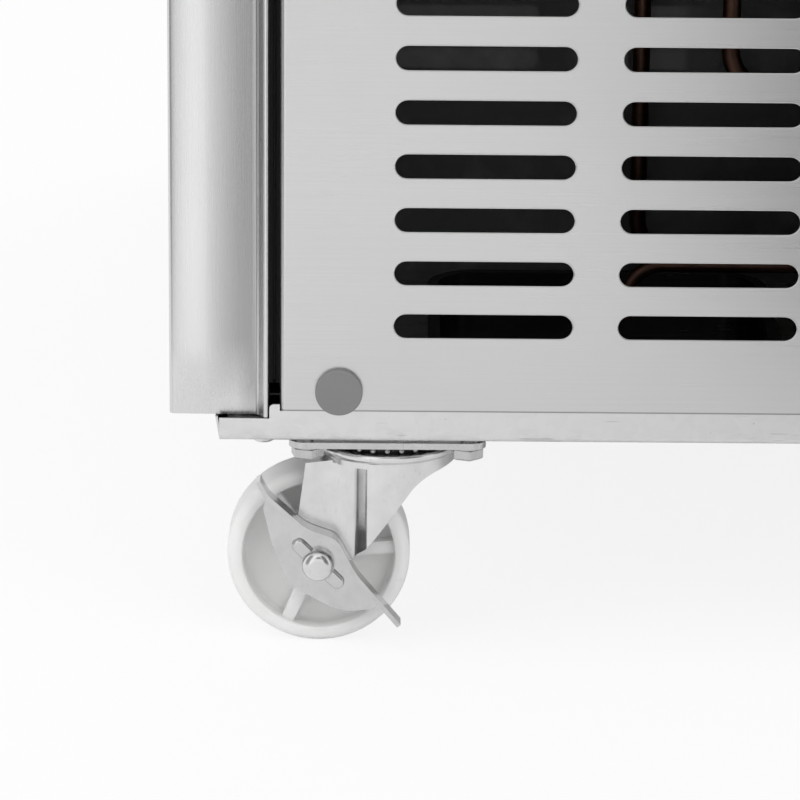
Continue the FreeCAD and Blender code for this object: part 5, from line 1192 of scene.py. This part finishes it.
    def race_balls(self) -> None:
        """Sets a ring of balls in the race over every fork, dark with grease and painted shade."""
        tool = NodeTool("race_balls")
        ring = tool.node("GeometryNodeMeshCircle", {
            "Vertices": tool.size("Balls", "NodeSocketInt"), "Radius": tool.size("Ring")})
        ball = tool.node("GeometryNodeMeshUVSphere", {
            "Segments": self.ball_segments, "Rings": self.ball_rings, "Radius": tool.size("Ball")})
        smooth = tool.node("GeometryNodeSetShadeSmooth", {"Geometry": ball.outputs[0]})
        race = tool.node("GeometryNodeInstanceOnPoints", {
            "Points": ring.outputs[0], "Instance": smooth.outputs[0]})
        tool.scatter(race.outputs[0])
        piece = self.bench.piece("race_balls", self.swivels())
        tool.apply(piece, {"Balls": self.balls, "Ring": self.ball_ring, "Ball": self.ball_radius,
                           "Material": self.bench.material(BALL)})
        self.bench.settle(piece, "cabinet", BALL)

    def swivels(self) -> list[Spot]:
        """Finds the middle of every race, from the fork that turns under it.

        Returns:
            One point for each caster, at the level of its balls.
        """
        level = self.plate_top() - self.ball_drop
        boxes = [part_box(f"caster_{place}_fork") for place in CASTER_PLACES]
        return [((low.x + high.x) / 2, high.y - (high.x - low.x) / 2, level) for low, high in boxes]

    @staticmethod
    def plate_top() -> float:
        """Gives the height at which the plates meet the base."""
        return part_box("caster_plates")[1].z


@dataclass
class Machine(Assembly):
    """The refrigeration set: compressor, coils, fans, lines and trays."""

    edge: float = 0.3 * MM
    painted: ClassVar[dict[str, Finish]] = {
        "evaporator_coil": ALUMINIUM, "drip_tray": PLUG_GREY, "compressor_feet": SEAL, "condenser": ALUMINIUM,
        "fan_shroud": GALVANISED, "fan_motors": BLACK}
    refined: ClassVar[dict[str, Finish]] = {
        "evaporator_cover": STEEL_ROOM, "evaporator_fan": BLACK, "condenser_fan": BLACK,
        "compressor": ENAMEL, "refrigerant_lines": COPPER, "condensate_tray": TRAY}

    def build(self) -> None:
        """Dresses the machine's nodes."""
        self.bench.paint(self.painted)
        self.bench.refine_all(self.refined, self.edge)


@dataclass
class Controls(Assembly):
    """The thermostat, its window and keys, and the rocker switch."""

    edge: float = 0.3 * MM
    mouldings: ClassVar[tuple[str, ...]] = (
        "thermostat_case", "switch_frame", "power_switch", "button_up", "button_down")

    def build(self) -> None:
        """Dresses the controls."""
        self.bench.paint({"thermostat_window": WINDOW})
        self.bench.refine_all(dict.fromkeys(self.mouldings, BLACK), self.edge)


@dataclass(frozen=True)
class Card:
    """An upright card in front of the right end that only reflections see.

    It reaches between two bearings from the front corner, in degrees, and between two heights.
    """

    name: str
    start: float
    stop: float
    distance: float
    base: float
    height: float
    level: float


@dataclass(frozen=True)
class Lamp:
    """A soft square lamp: where it hangs, what it points at, its side and its power in watts."""

    name: str
    place: Spot
    target: Spot
    side: float
    power: float


@dataclass
class Studio(Assembly):
    """The floor, the lamps, the surroundings and the camera."""

    floor_half: float = 8.0
    floor_clouds: float = 3.0
    card_clouds: float = 4.0
    camera_place: Spot = (2.350, -0.2477, 0.7165)
    camera_yaw: float = 0.2
    camera_pitch: float = 17.4
    camera_roll: float = 0.51
    camera_reach: float = 50.0
    focal_pixels: float = 4662.0
    image_pixels: float = 800.0
    sensor: float = 36.0
    floor_glow: float = 0.85
    mirrored_glow: float = 0.1
    ambient: float = 0.55
    cards: tuple[Card, ...] = (
        Card("bright_card", -34.0, -15.0, 0.45, 0.0, 0.9, 1.22),
        Card("dark_card", 24.0, 60.0, 0.6, 0.0, 0.9, 0.2),
        Card("dim_card", -80.0, -39.0, 0.6, 0.0, 0.9, 0.3),
        Card("lens_card", -8.0, 16.0, 0.7, 0.34, 0.62, 0.05))
    lamps: tuple[Lamp, ...] = (
        Lamp("key", (1.6, -2.4, 2.6), (0.3, -0.2, 0.4), 3.2, 66.0),
        Lamp("fill", (2.8, 1.6, 1.6), (0.3, 0.0, 0.4), 2.6, 36.0),
        Lamp("back", (-2.4, 0.8, 2.8), (0.0, 0.0, 0.6), 3.2, 44.0))

    def build(self) -> None:
        """Sets up the studio."""
        self.floor()
        self.surroundings()
        for card in self.cards:
            self.reflector(card)
        for lamp in self.lamps:
            self.hang(lamp)
        self.camera()
        bpy.context.scene.view_settings.view_transform = "Standard"

    def floor(self) -> None:
        """Lays a pale floor that keeps the shadow."""
        half = self.floor_half
        corners = [(-half, -half, 0), (half, -half, 0), (half, half, 0), (-half, half, 0)]
        piece = self.bench.piece("floor", corners, [(0, 1, 2, 3)])
        recipe = Recipe("pale_floor")
        mirrored = recipe.ray("Glossy") + recipe.ray("Transmission")
        seen = recipe.ray("Camera") * self.floor_glow + mirrored * self.mirrored_glow
        tint = recipe.mix(recipe.noise(self.floor_clouds, 3.0), grey(0.90), grey(0.92))
        matt = recipe.node("ShaderNodeBsdfDiffuse", {"Color": tint})
        glow = recipe.node("ShaderNodeEmission", {"Color": (1, 1, 1, 1), "Strength": 1.0})
        both = recipe.node("ShaderNodeMixShader", {
            0: recipe.shade(seen, 0.0, 1.0), 1: matt.outputs[0], 2: glow.outputs[0]})
        piece.data.materials.append(recipe.surface(both))

    def reflector(self, card: Card) -> None:
        """Stands a card in front of the right end, seen by reflections only.

        Args:
            card: where it stands and how bright it is.
        """
        _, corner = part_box("door_right_skin")
        turns = [math.radians(bearing) for bearing in (card.start, card.stop)]
        feet = [(corner.x + card.distance * math.cos(turn), corner.y + card.distance * math.sin(turn))
                for turn in turns]
        below = [(x, y, card.base) for x, y in feet]
        above = [(x, y, card.height) for x, y in reversed(feet)]
        piece = self.bench.piece(card.name, below + above, [(0, 1, 2, 3)])
        recipe = Recipe(card.name)
        tint = recipe.mix(recipe.noise(self.card_clouds) * 0.1 + 0.95, grey(0.0), grey(1.0))
        glow = recipe.node("ShaderNodeEmission", {"Color": tint, "Strength": card.level})
        piece.data.materials.append(recipe.surface(glow))
        for rays in ("camera", "diffuse", "shadow", "transmission"):
            setattr(piece, f"visible_{rays}", False)

    def surroundings(self) -> None:
        """Sets a white background and a softer light from all round."""
        world = bpy.data.worlds.new("studio")
        bpy.context.scene.world = world
        world.use_nodes = True
        graph = Graph(world.node_tree)
        world.node_tree.nodes.clear()
        shown = graph.ray("Camera") + graph.ray("Glossy") + graph.ray("Transmission")
        level = graph.node("ShaderNodeMapRange", {"Value": shown, "To Min": self.ambient}, clamp=True)
        light = graph.node("ShaderNodeBackground", {"Color": (1, 1, 1, 1), "Strength": level.outputs[0]})
        end = graph.node("ShaderNodeOutputWorld")
        world.node_tree.links.new(light.outputs[0], end.inputs["Surface"])

    @staticmethod
    def hang(lamp: Lamp) -> None:
        """Hangs a lamp that polished sheet does not mirror.

        Args:
            lamp: where it hangs and how bright it is.
        """
        data = bpy.data.lights.new(lamp.name, "AREA")
        data.size = lamp.side
        data.energy = lamp.power
        made = bpy.data.objects.new(lamp.name, data)
        made.location = lamp.place
        aim = Vector(lamp.target) - Vector(lamp.place)
        made.rotation_euler = aim.to_track_quat("-Z", "Y").to_euler()
        made.visible_glossy = False
        bpy.context.scene.collection.objects.link(made)

    def camera(self) -> None:
        """Sets the camera at the photograph's viewing angle."""
        pitch, yaw, roll = (math.radians(a) for a in (self.camera_pitch, self.camera_yaw, self.camera_roll))
        ahead = Vector((-math.cos(pitch) * math.cos(yaw), math.cos(pitch) * math.sin(yaw), -math.sin(pitch)))
        right = Vector((math.sin(yaw), math.cos(yaw), 0.0))
        level = Matrix((right, right.cross(ahead), -ahead)).transposed()
        turn = (level @ Matrix.Rotation(roll, 3, "Z")).to_4x4()
        data = bpy.data.cameras.new("camera")
        data.sensor_width = self.sensor
        data.lens = self.sensor * self.focal_pixels / self.image_pixels
        data.clip_end = self.camera_reach
        made = bpy.data.objects.new("camera", data)
        made.matrix_world = Matrix.Translation(self.camera_place) @ turn
        bpy.context.scene.collection.objects.link(made)
        bpy.context.scene.camera = made


def main() -> None:
    """Builds the counter's pieces in order and sets up the view."""
    logging.basicConfig(level=logging.INFO, format="%(message)s")
    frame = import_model()
    bench = Bench(frame)
    for assembly in (Cabinet, Doors, Casters, Machine, Controls, Studio):
        assembly(bench).build()


if __name__ == "__main__":
    main()
